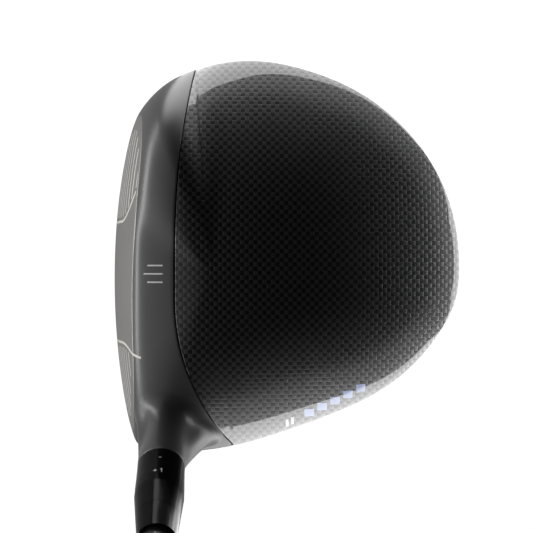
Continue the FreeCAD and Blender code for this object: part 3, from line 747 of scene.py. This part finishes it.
def aim_marks():
    """Three short lines on the metal front that point at the middle of the face."""
    rows = [
        crown_ribbon((front, AIM_PLACE + off), (back, AIM_PLACE + off), AIM_WIDTH)
        for front, back, off in AIM_LINES
    ]
    return joined_piece("aim_marks", rows)


RIM_START = np.array([6.0, -48.9])
RIM_END = np.array([31.0, -36.9])
RIM_HEIGHT = 2.3
RIM_SLANT = 1.0


def rim_blocks(name, spans):
    """Slanted blocks along the heel rim, each given by its start and end share of the mark's length."""
    along = unit(RIM_END - RIM_START)
    up = np.array([-along[1], along[0]])
    length = np.linalg.norm(RIM_END - RIM_START)
    rows = []
    for low, high in spans:
        middle = RIM_START + along * (low + high) / 2 * length
        lean = up * RIM_HEIGHT / 2 + along * RIM_SLANT / 2
        rows.append(crown_ribbon(middle - lean, middle + lean, (high - low) * length, places=8))
    return joined_piece(name, rows)


WHITE_SPANS = ((0.0, 0.035), (0.065, 0.1))
BLUE_SPANS = tuple((0.23 + 0.16 * i, 0.23 + 0.16 * i + 0.12) for i in range(5))

# ---- shaft and grip

def carried(name, profile, around):
    """A round piece: a closed profile of radius and height up the shaft, turned about the hosel line."""
    bearing = np.linspace(0, FULL_TURN, around, endpoint=False)
    profile = np.array(profile, float)
    grid = hosel_points(profile[:, :1], -profile[:, 1:], bearing)
    return grid_piece(name, grid, wrap_rows=True, smooth_angle=25)


def node_heights(node):
    """Lowest and highest place of a node along the hosel line."""
    mesh = frame["nodes"][node].data
    spots = np.empty(len(mesh.vertices) * 3, np.float32)
    mesh.vertices.foreach_get("co", spots)
    heights = (spots.reshape(-1, 3) / MM - HOSEL_MOUTH) @ UP_SHAFT
    return float(heights.min()), float(heights.max())


SHAFT_TIP = 4.25
SHAFT_TIP_BORE = 2.95
SHAFT_BUTT = 7.6
SHAFT_BUTT_BORE = 6.3
TAPER_HEIGHTS = (60.0, 820.0)
FERRULE_BORE = 4.3
FERRULE_CUP = 5.35
CUP_DEPTH = 3.2
SLEEVE_SEAT = 5.5


def shaft_tube():
    """The hollow shaft: parallel in the adapter, tapered, and parallel again under the grip."""
    foot, head = node_heights("shaft")
    low, high = TAPER_HEIGHTS
    profile = [
        (SHAFT_TIP_BORE, foot), (SHAFT_TIP - 0.05, foot), (SHAFT_TIP, foot + 0.1), (SHAFT_TIP, low),
        (SHAFT_BUTT, high), (SHAFT_BUTT, head), (SHAFT_BUTT_BORE, head), (SHAFT_BUTT_BORE, high),
        (SHAFT_TIP_BORE, low),
    ]
    return carried("shaft_tube", profile, 96)


def ferrule_cone():
    """The ferrule: a cone with a small bevel at its foot, a rounded lip and a cup round the shaft."""
    foot, top = node_heights("ferrule")
    profile = [
        (SLEEVE_SEAT, foot), (6.45, foot), (6.6, foot + 0.12), (6.58, foot + 0.4), (6.18, 29.0),
        (5.83, top - 0.9), (5.78, top - 0.25), (5.6, top), (5.42, top - 0.1), (FERRULE_CUP, top - 0.35),
        (FERRULE_CUP, top - CUP_DEPTH), (FERRULE_BORE, top - CUP_DEPTH), (FERRULE_BORE, foot + 1.0),
        (SLEEVE_SEAT, foot + 1.0),
    ]
    return carried("ferrule_cone", profile, 128)


GRIP_RINGS = 420
GRIP_AROUND = 120
GRIP_MOUTH = 9.3
GRIP_BUTT = 13.2
GRIP_LIP = 6.0
GRIP_TAPE_GAP = 0.35
GRIP_GROOVE = 0.28
GROOVE_PITCH = 6.0
GROOVE_STARTS = 10
GROOVE_SIDES = (0.05, 0.16)
BAND_DEPTH = 0.3
BAND_HEIGHTS = (10.5, 12.5, 101.0, 116.0)
PATTERN_FADE = 3.0


def grip_sleeve():
    """The grip: a tapered sleeve with crossed shallow grooves between plain bands, and its bore."""
    low, high = node_heights("grip")
    bearing = np.linspace(0, FULL_TURN, GRIP_AROUND, endpoint=False)
    height = np.linspace(low + 0.6, high, GRIP_RINGS)[:, None]
    share = ((height - low - GRIP_LIP) / (high - low - GRIP_LIP)).clip(0, 1)
    radius = GRIP_MOUTH + (GRIP_BUTT - GRIP_MOUTH) * share
    turn = bearing / FULL_TURN * GROOVE_STARTS
    off_groove = [np.abs(np.mod(height / GROOVE_PITCH + t, 1) - 0.5) for t in (turn, -turn)]
    groove = 1 - ease(np.minimum(*off_groove), *GROOVE_SIDES)
    along = height - low
    patterned = sum(
        ease(along, start, start + PATTERN_FADE) * (1 - ease(along, end, end + PATTERN_FADE))
        for start, end in ((14, 96), (118, high - low - 20))
    )
    bands = sum(np.exp(-(((along - b) / 0.5) ** 2)) for b in BAND_HEIGHTS)
    radius = radius - GRIP_GROOVE * groove * patterned - BAND_DEPTH * bands
    shell = hosel_points(radius, -height, bearing)
    bore = SHAFT_BUTT + GRIP_TAPE_GAP
    mouth = [
        hosel_points(r, -h, bearing)[None]
        for r, h in ((bore, high), (bore, low), (GRIP_MOUTH - 0.6, low))
    ]
    return grid_piece("grip_sleeve", np.concatenate(mouth + [shell]), wrap_rows=True, smooth_angle=80)


NUMERAL_WIDTH = 0.26
ZERO = [(0.62 * math.cos(a), 0.85 * math.sin(a)) for a in np.linspace(0, FULL_TURN, 33)]
PLUS_BAR = [(-1.75, 0.0), (-0.65, 0.0)]
PLUS_STEM = [(-1.2, -0.55), (-1.2, 0.55)]
ONE_STEM = [(0.75, -0.9), (0.75, 0.9)]
ONE_FLAG = [(0.25, 0.45), (0.75, 0.9)]

# Radius, height up the shaft and strokes of the lie ring's number and the loft ring's.
RING_NUMERALS = [
    (7.1, 5.2, [ZERO]),
    (7.3, 10.9, [PLUS_BAR, PLUS_STEM, ONE_STEM, ONE_FLAG]),
]


def ring_numerals():
    """Setting numbers on the adapter's rings: strokes drawn as thin strips, on the toe side."""
    rows = []
    for radius, height, strokes in RING_NUMERALS:
        for stroke in strokes:
            spots = np.array(stroke, float)
            if len(spots) == 2:
                spots = spots[0] + (spots[1] - spots[0]) * np.linspace(0, 1, 6)[:, None]
            bearing = RIGHT_ANGLE - spots[:, 0] / radius
            path = hosel_points(radius, spots[:, 1] - height, bearing)
            normal = unit(off_hosel_line(path))
            side = unit(np.cross(normal, np.gradient(path, axis=0)))
            rows.append(ribbon(path, side, normal, NUMERAL_WIDTH, 0.03))
    return joined_piece("ring_numerals", rows)


# ---- node groups


def group(name, inputs, outputs):
    """An empty shader node group with its sockets: name, kind and start value."""
    made = bpy.data.node_groups.new(name, "ShaderNodeTree")
    for label, kind, value in inputs:
        socket = made.interface.new_socket(name=label, in_out="INPUT", socket_type=kind)
        if value is not None:
            socket.default_value = value
    for label, kind in outputs:
        made.interface.new_socket(name=label, in_out="OUTPUT", socket_type=kind)
    return made, made.nodes.new("NodeGroupInput"), made.nodes.new("NodeGroupOutput")


class Net:
    """Short calls for adding nodes to one tree and joining them."""

    def __init__(self, tree):
        self.tree = tree

    def node(self, kind, **settings):
        made = self.tree.nodes.new(kind)
        for key, value in settings.items():
            setattr(made, key, value)
        return made

    def join(self, source, target):
        self.tree.links.new(source, target)

    def put(self, target, value):
        if isinstance(value, bpy.types.NodeSocket):
            self.join(value, target)
        else:
            target.default_value = value

    def math(self, operation, *values):
        made = self.node("ShaderNodeMath", operation=operation)
        for socket, value in zip(made.inputs, values):
            self.put(socket, value)
        return made.outputs[0]

    def mix(self, share, first, second):
        made = self.node("ShaderNodeMix", data_type="RGBA")
        self.put(made.inputs[0], share)
        for socket, value in zip((made.inputs[6], made.inputs[7]), (first, second)):
            self.put(socket, value if isinstance(value, bpy.types.NodeSocket) else (*value, 1.0))
        return made.outputs[2]

    def stretch(self, value, low, high, new_low, new_high):
        made = self.node("ShaderNodeMapRange", clamp=True)
        for socket, number in zip(made.inputs, (value, low, high, new_low, new_high)):
            self.put(socket, number)
        return made.outputs[0]

    def noise(self, vector, scale, detail=3.0, roughness=0.5):
        made = self.node("ShaderNodeTexNoise")
        self.join(vector, made.inputs["Vector"])
        self.put(made.inputs["Scale"], scale)
        made.inputs["Detail"].default_value = detail
        made.inputs["Roughness"].default_value = roughness
        return made.outputs[0]


TOW_SQUARE = 0.00131
STRANDS = 9.0


def tow_weave_group():
    """Plain weave: squares of lengthwise and crosswise tows, each humped across its own fibres."""
    made, start, end = group(
        "tow_weave",
        [("Vector", "NodeSocketVector", None), ("Square", "NodeSocketFloat", TOW_SQUARE)],
        [("Crosswise", "NodeSocketFloat"), ("Height", "NodeSocketFloat"), ("Fibre", "NodeSocketFloat")],
    )
    net = Net(made)
    parts = net.node("ShaderNodeSeparateXYZ")
    net.join(start.outputs["Vector"], parts.inputs[0])
    places = [net.math("DIVIDE", parts.outputs[i], start.outputs["Square"]) for i in (0, 1)]
    cells = [net.math("FLOOR", p) for p in places]
    humps = []
    for place in places:
        part = net.math("FRACT", place)
        rise = net.math("MULTIPLY", part, net.math("SUBTRACT", 1.0, part))
        humps.append(net.math("MULTIPLY", rise, 4.0))
    crosswise = net.math("FLOORED_MODULO", net.math("ADD", *cells), 2.0)
    lengthwise = net.math("SUBTRACT", 1.0, crosswise)

    def by_way(along, across):
        """The first value on lengthwise squares and the second on crosswise ones."""
        shares = (net.math("MULTIPLY", along, lengthwise), net.math("MULTIPLY", across, crosswise))
        return net.math("ADD", *shares)

    tall = by_way(humps[1], humps[0])
    ends = by_way(humps[0], humps[1])
    height = net.math("MULTIPLY", net.math("POWER", tall, 0.6), net.stretch(ends, 0.0, 0.5, 0.72, 1.0))
    strands = []
    for index in (1, 0):
        strand = net.math("FRACT", net.math("MULTIPLY", places[index], STRANDS))
        strands.append(net.math("ABSOLUTE", net.math("SUBTRACT", strand, 0.5)))
    for label, value in (("Crosswise", crosswise), ("Height", height), ("Fibre", by_way(*strands))):
        net.join(value, end.inputs[label])
    return made


def handling_group():
    """Faint smears and dust: a slow cloud and a fine one, as a mask and a small change of roughness."""
    made, start, end = group(
        "handling",
        [
            ("Vector", "NodeSocketVector", None),
            ("Cloud", "NodeSocketFloat", 40.0),
            ("Grain", "NodeSocketFloat", 900.0),
            ("Low", "NodeSocketFloat", 0.3),
            ("High", "NodeSocketFloat", 0.4),
        ],
        [("Roughness", "NodeSocketFloat"), ("Smear", "NodeSocketFloat"), ("Grain", "NodeSocketFloat")],
    )
    net = Net(made)
    cloud = net.noise(start.outputs["Vector"], start.outputs["Cloud"], 4.0, 0.6)
    grain = net.noise(start.outputs["Vector"], start.outputs["Grain"], 2.0, 0.5)
    smear = net.stretch(cloud, 0.4, 0.72, 0.0, 1.0)
    both = net.math("ADD", net.math("MULTIPLY", cloud, 0.6), net.math("MULTIPLY", grain, 0.4))
    rough = net.stretch(both, 0.3, 0.7, start.outputs["Low"], start.outputs["High"])
    for label, value in (("Roughness", rough), ("Smear", smear), ("Grain", grain)):
        net.join(value, end.inputs[label])
    return made


TOW_WEAVE = tow_weave_group()
HANDLING = handling_group()

# ---- materials


class Finish:
    """One material: its tree, its object coordinates and its principled shader."""

    def __init__(self, name, colour, metallic=0.0, coat=0.0, coat_roughness=0.03, specular=0.5):
        self.material = bpy.data.materials.new(name)
        self.material.use_nodes = True
        self.net = Net(self.material.node_tree)
        self.shader = self.material.node_tree.nodes["Principled BSDF"]
        self.place = self.net.node("ShaderNodeTexCoord").outputs["Object"]
        self.colour = colour
        self.set("Base Color", (*colour, 1.0))
        self.set("Metallic", metallic)
        self.set("Coat Weight", coat)
        self.set("Coat Roughness", coat_roughness)
        self.set("Specular IOR Level", specular)

    def set(self, socket, value):
        self.net.put(self.shader.inputs[socket], value)

    def turned_place(self, turn=(0, 0, 0), scale=(1, 1, 1)):
        """Object coordinates turned and stretched for a pattern."""
        made = self.net.node("ShaderNodeMapping")
        self.net.join(self.place, made.inputs["Vector"])
        made.inputs["Rotation"].default_value = turn
        made.inputs["Scale"].default_value = scale
        return made.outputs[0]

    def use(self, tree, **values):
        """A group node with its values set."""
        made = self.net.node("ShaderNodeGroup", node_tree=tree)
        self.net.join(self.place, made.inputs["Vector"])
        for key, value in values.items():
            made.inputs[key].default_value = value
        return made.outputs

    def handled(self, low, high, cloud=40.0, grain=900.0, tone=0.2):
        """Gives the finish its smears: roughness between low and high, and the colour a shade lighter."""
        marks = self.use(HANDLING, Low=low, High=high, Cloud=cloud, Grain=grain)
        self.set("Roughness", marks["Roughness"])
        light = tuple(min(1.0, c * (1 + tone) + 0.002) for c in self.colour)
        self.set("Base Color", self.net.mix(marks["Smear"], self.colour, light))
        return marks

    def bump(self, height, strength, distance):
        """Raises the surface by a height, in metres at full strength."""
        made = self.net.node("ShaderNodeBump")
        made.inputs["Strength"].default_value = strength
        made.inputs["Distance"].default_value = distance
        self.net.join(height, made.inputs["Height"])
        if self.shader.inputs["Normal"].is_linked:
            self.net.join(self.shader.inputs["Normal"].links[0].from_socket, made.inputs["Normal"])
        self.set("Normal", made.outputs[0])


# Colours of the carbon: the lengthwise tows, the crosswise tows painted lighter as a painted sheen, and the
# dark gaps between fibres.
CARBON_PAINTED_SHEEN = (0.085, 0.085, 0.086)
CARBON_DARK = (0.009, 0.009, 0.0093)
CARBON_GAP = (0.004, 0.004, 0.0045)


def carbon_finish():
    """Woven carbon under clear lacquer: two tones of tow, the crosswise ones painted lighter as a painted
    sheen of light caught across their fibres, humps and fine fibres; the lacquer stays smooth.
    """
    finish = Finish("crown_carbon", CARBON_DARK, 0.5, 1.0, 0.02)
    net = finish.net
    weave = finish.use(TOW_WEAVE, Square=TOW_SQUARE)
    marks = finish.use(HANDLING, Low=0.34, High=0.42, Cloud=30.0, Grain=2500.0)
    # The crosswise tows get the lighter colour: a painted sheen standing in for the light their fibres catch.
    tone = net.mix(weave["Crosswise"], CARBON_DARK, CARBON_PAINTED_SHEEN)
    gaps = net.stretch(weave["Fibre"], 0.0, 0.5, 0.0, 0.35)
    finish.set("Base Color", net.mix(gaps, tone, CARBON_GAP))
    finish.set("Roughness", marks["Roughness"])
    finish.bump(weave["Height"], 0.55, 0.00012)
    finish.set("Coat Normal", net.node("ShaderNodeNewGeometry").outputs["Normal"])
    return finish.material


def front_finish():
    """Satin dark metal paint with a fine flake."""
    finish = Finish("front_satin", (0.1, 0.1, 0.1015), 0.35)
    finish.handled(0.31, 0.38, 25.0, 3000.0, 0.12)
    finish.bump(finish.net.noise(finish.place, 5200.0, 1.0), 0.12, 0.00004)
    return finish.material


FACE_METAL = (0.38, 0.37, 0.355)
FACE_SHADE = (0.27, 0.26, 0.243)
FACE_STREAK = (0.48, 0.47, 0.456)
HATCH_PITCH = 0.0007


def face_finish():
    """Blasted and brushed face metal, with darker and lighter streaks and a fine crossed texture."""
    finish = Finish("face_metal", FACE_METAL, 1.0)
    net = finish.net
    finish.handled(0.34, 0.46, 60.0, 2500.0, 0.1)
    parts = net.node("ShaderNodeSeparateXYZ")
    net.join(finish.place, parts.inputs[0])
    cross = []
    for axis in (1, 2):
        wave = net.math("SINE", net.math("MULTIPLY", parts.outputs[axis], FULL_TURN / HATCH_PITCH))
        cross.append(net.math("ABSOLUTE", wave))
    hatch = net.math("MULTIPLY", *cross)
    streaks = net.noise(finish.turned_place(scale=(1.0, 0.06, 1.0)), 2600.0, 3.0)
    mottle = net.mix(net.stretch(hatch, 0.2, 0.9, 0.0, 0.3), FACE_METAL, FACE_SHADE)
    brushed = net.stretch(streaks, 0.35, 0.7, 0.0, 0.25)
    finish.set("Base Color", net.mix(brushed, mottle, FACE_STREAK))
    finish.bump(hatch, 0.25, 0.00004)
    finish.bump(streaks, 0.15, 0.00003)
    return finish.material


def plain_finish(name, colour, low, high, coat=0.0, grain=1500.0, bump=0.0, specular=0.5):
    """A smooth finish with smears and a fine grain."""
    finish = Finish(name, colour, coat=coat, specular=specular)
    marks = finish.handled(low, high, 60.0, grain)
    if bump:
        finish.bump(marks["Grain"], bump, 0.00005)
    return finish.material


def turned_finish(name, colour, low, high):
    """Machined metal: fine rings along the hosel line, from stretched noise."""
    finish = Finish(name, colour, 1.0)
    finish.handled(low, high, 60.0, 1800.0, 0.15)
    place = finish.turned_place((-LIE_TILT, 0, 0), (0.03, 0.03, 1.0))
    finish.bump(finish.net.noise(place, 5000.0, 2.0), 0.2, 0.00002)
    return finish.material


SHAFT_DARK = (0.02, 0.02, 0.021)
SHAFT_LIGHT = (0.05, 0.05, 0.052)


def shaft_finish():
    """Dark lacquered carbon shaft: faint lengthwise fibres under a gloss coat."""
    finish = Finish("shaft_lacquer", SHAFT_DARK, 0.0, 0.6, 0.04)
    place = finish.turned_place((-LIE_TILT, 0, 0), (1.0, 1.0, 0.02))
    fibres = finish.net.stretch(finish.net.noise(place, 2600.0, 2.0), 0.4, 0.65, 0.0, 1.0)
    finish.set("Base Color", finish.net.mix(fibres, SHAFT_DARK, SHAFT_LIGHT))
    finish.set("Roughness", finish.use(HANDLING, Low=0.28, High=0.36)["Roughness"])
    return finish.material


def rubber_finish(name, colour):
    """Soft rubber: matt, with pores and a worn sheen in patches."""
    finish = Finish(name, colour, specular=0.4)
    finish.handled(0.55, 0.72, 50.0, 1200.0, 0.5)
    finish.bump(finish.net.noise(finish.place, 3500.0, 2.0), 0.3, 0.00005)
    return finish.material


# ---- pieces with their finishes


def clothe(piece, material, slot, body, *replaced):
    """Gives a new piece its material and its body, and hides the nodes it stands for. The slot is not used.
    """
    piece.data.materials.clear()
    piece.data.materials.append(material)
    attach(piece, body)
    if replaced:
        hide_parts(*replaced)


def cleaned(node, name, material, slot):
    """A copy of a node with its doubles merged and round faces shaded smooth, standing for the node."""
    source = frame["nodes"][node]
    mesh = source.data.copy()
    mesh.name = name
    if "custom_normal" in mesh.attributes:
        mesh.attributes.remove(mesh.attributes["custom_normal"])
    with edited(mesh) as work:
        bmesh.ops.remove_doubles(work, verts=work.verts, dist=1e-6)
    shade_smooth(mesh, 28)
    clothe(placed(name, mesh), material, slot, source["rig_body"], node)


CARBON = carbon_finish()
FRONT = front_finish()
FACE = face_finish()
SCORE_PAINT = plain_finish("score_paint", (0.8, 0.79, 0.76), 0.4, 0.5, bump=0.1)
CREAM_PAINT = plain_finish("cream_paint", (0.85, 0.83, 0.76), 0.35, 0.45, bump=0.1)
WHITE_INK = plain_finish("white_ink", (0.85, 0.85, 0.86), 0.3, 0.4, coat=1.0)
BLUE_INK = plain_finish("blue_ink", (0.42, 0.52, 0.86), 0.3, 0.4, coat=1.0)
BOND = plain_finish("bond_black", (0.0015, 0.0015, 0.0015), 0.6, 0.8, specular=0.1)
ANODISED = plain_finish("adapter_black", (0.003, 0.003, 0.0033), 0.12, 0.18, 0.0, 2500.0, 0.03, 0.12)
FERRULE = plain_finish("ferrule_gloss", (0.002, 0.002, 0.002), 0.1, 0.16, grain=900.0, specular=0.12)
SHAFT = shaft_finish()
GRIP = rubber_finish("grip_rubber", (0.022, 0.022, 0.023))
CAP = rubber_finish("cap_rubber", (0.018, 0.018, 0.019))
TRACK = turned_finish("track_black", (0.06, 0.06, 0.065), 0.3, 0.42)
TUNGSTEN = turned_finish("weight_tungsten", (0.36, 0.36, 0.37), 0.28, 0.4)
STEEL = turned_finish("screw_steel", (0.14, 0.14, 0.15), 0.25, 0.38)
NYLON = plain_finish("nylon_black", (0.02, 0.02, 0.02), 0.45, 0.6, bump=0.1)
EPOXY = plain_finish("epoxy_amber", (0.55, 0.48, 0.33), 0.2, 0.3, bump=0.1)
BRASS = turned_finish("brass_plug", (0.75, 0.55, 0.24), 0.25, 0.38)
TAPE = plain_finish("grip_tape", (0.78, 0.75, 0.68), 0.6, 0.75, bump=0.3)

clothe(crown_panel(), CARBON, "carbon", "head", "crown_panel")
clothe(front_shell(), FRONT, "front_titanium", "head", "front_frame")
clothe(neck(), FRONT, "front_titanium", "head")
clothe(face_plate(), FACE, "face_titanium", "head", "face_plate")
clothe(score_lines(), SCORE_PAINT, "face_titanium", "head")
clothe(bracket_lines(), CREAM_PAINT, "face_titanium", "head")
clothe(aim_marks(), WHITE_INK, "front_titanium", "head")
clothe(rim_blocks("rim_marks_white", WHITE_SPANS), WHITE_INK, "carbon", "head")
clothe(rim_blocks("rim_marks_blue", BLUE_SPANS), BLUE_INK, "carbon", "head")
clothe(ring_numerals(), WHITE_INK, "black_anodised", "shaft_assembly")
clothe(grip_sleeve(), GRIP, "grip_rubber", "shaft_assembly", "grip")
clothe(ferrule_cone(), FERRULE, "nylon", "shaft_assembly", "ferrule")
clothe(shaft_tube(), SHAFT, "shaft_carbon", "shaft_assembly", "shaft")

CLEANED_NODES = [
    ("sole_panel", "sole_shell", CARBON, "carbon"),
    ("seam_bond", "seam_glue", BOND, "bond"),
    ("hosel_cog", "hosel_cog_ring", ANODISED, "black_anodised"),
    ("screw_washer", "screw_washer_ring", STEEL, "screw_steel"),
    ("weight_track", "weight_track_rail", TRACK, "track_aluminium"),
    ("shaft_sleeve", "adapter_sleeve", ANODISED, "black_anodised"),
    ("cog_retainer", "retainer_ring", NYLON, "nylon"),
    ("lie_ring", "lie_cog_ring", ANODISED, "black_anodised"),
    ("loft_ring", "loft_cog_ring", ANODISED, "black_anodised"),
    ("tip_epoxy", "tip_glue", EPOXY, "epoxy"),
    ("tip_plug", "tip_weight", BRASS, "brass"),
    ("grip_tape", "grip_tape_wrap", TAPE, "tape"),
    ("grip_cap", "grip_end_cap", CAP, "cap_rubber"),
    ("hosel_screw", "hosel_bolt", STEEL, "screw_steel"),
    ("weight_shoe", "weight_block", TUNGSTEN, "weight_tungsten"),
    ("weight_clamp", "weight_nut_plate", STEEL, "screw_steel"),
    ("weight_screw", "weight_bolt", STEEL, "screw_steel"),
]
for row in CLEANED_NODES:
    cleaned(*row)

# ---- floor, light and camera


FLOOR_HALF = 8.0
FLOOR_GAP = 0.0005
FLOOR_GLOW = (0.22, 0.97)
PANEL_HEIGHT = -0.0002
CAMERA_HEIGHT = 0.728
CAMERA_LENS = 151.3
SENSOR = 36.0
REFLECTED_SKY = (0.5, 0.5, 0.5)
SEEN_SKY = (0.93, 0.93, 0.93)

# Middle, size, turn about the upright in degrees, and power of each soft panel lying on the floor.
FLOOR_PANELS = {
    "toe_panel": ((-0.054, 0.298), (0.15, 0.525), 24.8, 0.8),
    "heel_panel": ((0.034, -0.121), (0.21, 0.1), 38.7, 0.26),
    "rear_panel": ((0.175, 0.005), (0.23, 0.123), 0.0, 0.4),
    "face_panel": ((-0.8, -0.05), (1.1, 1.0), 0.0, 27.0),
}


def floor():
    """A wide pale floor under the sole, which glows so that no shadow falls on it; dimmer in reflections."""
    low = min(cad_box[0][2], 0.0) - FLOOR_GAP
    mesh = bpy.data.meshes.new("studio_floor")
    corners = [(x * FLOOR_HALF, y * FLOOR_HALF, low) for x, y in ((-1, -1), (1, -1), (1, 1), (-1, 1))]
    mesh.from_pydata(corners, [], [(0, 1, 2, 3)])
    finish = Finish("floor_pale", (0.8, 0.8, 0.8))
    finish.set("Roughness", 0.9)
    finish.set("Emission Color", (1.0, 1.0, 1.0, 1.0))
    seen = finish.net.node("ShaderNodeLightPath").outputs["Is Camera Ray"]
    finish.set("Emission Strength", finish.net.stretch(seen, 0.0, 1.0, *FLOOR_GLOW))
    mesh.materials.append(finish.material)
    placed("studio_floor", mesh)


def floor_panel(name, place, size, turn, power):
    """A soft light lying on the floor and facing up, seen only in reflections."""
    data = bpy.data.lights.new(name, "AREA")
    data.shape = "RECTANGLE"
    data.size, data.size_y = size
    data.energy = power
    made = placed(name, data)
    made.location = (*place, PANEL_HEIGHT)
    made.rotation_euler = (math.pi, 0.0, math.radians(turn))
    made.visible_camera = False


def world():
    """Pale surroundings to the eye; in reflections a dark ceiling, lighter on the face side and low down."""
    made = bpy.data.worlds.new("studio")
    made.use_nodes = True
    bpy.context.scene.world = made
    net = Net(made.node_tree)
    shader = made.node_tree.nodes["Background"]
    parts = net.node("ShaderNodeSeparateXYZ")
    net.join(net.node("ShaderNodeTexCoord").outputs["Generated"], parts.inputs[0])
    ceiling = net.stretch(parts.outputs[0], -0.75, -0.1, 1.1, 0.03)
    near_horizon = net.stretch(parts.outputs[2], 0.0, 0.12, 0.5, 0.0)
    seen = net.node("ShaderNodeLightPath").outputs["Is Camera Ray"]
    glow = net.math("MAXIMUM", net.math("MAXIMUM", ceiling, near_horizon), seen)
    net.join(net.mix(seen, REFLECTED_SKY, SEEN_SKY), shader.inputs["Color"])
    net.join(glow, shader.inputs["Strength"])


def camera():
    """Looks straight down on the head, far enough away that the sides barely spread."""
    data = bpy.data.cameras.new("address_camera")
    data.sensor_width = SENSOR
    data.lens = CAMERA_LENS
    data.clip_start = 0.01
    made = placed("address_camera", data)
    made.location = (0.0, 0.0, CAMERA_HEIGHT)
    bpy.context.scene.camera = made


bpy.context.scene.view_settings.view_transform = "Standard"
floor()
world()
camera()
for panel, values in FLOOR_PANELS.items():
    floor_panel(panel, *values)
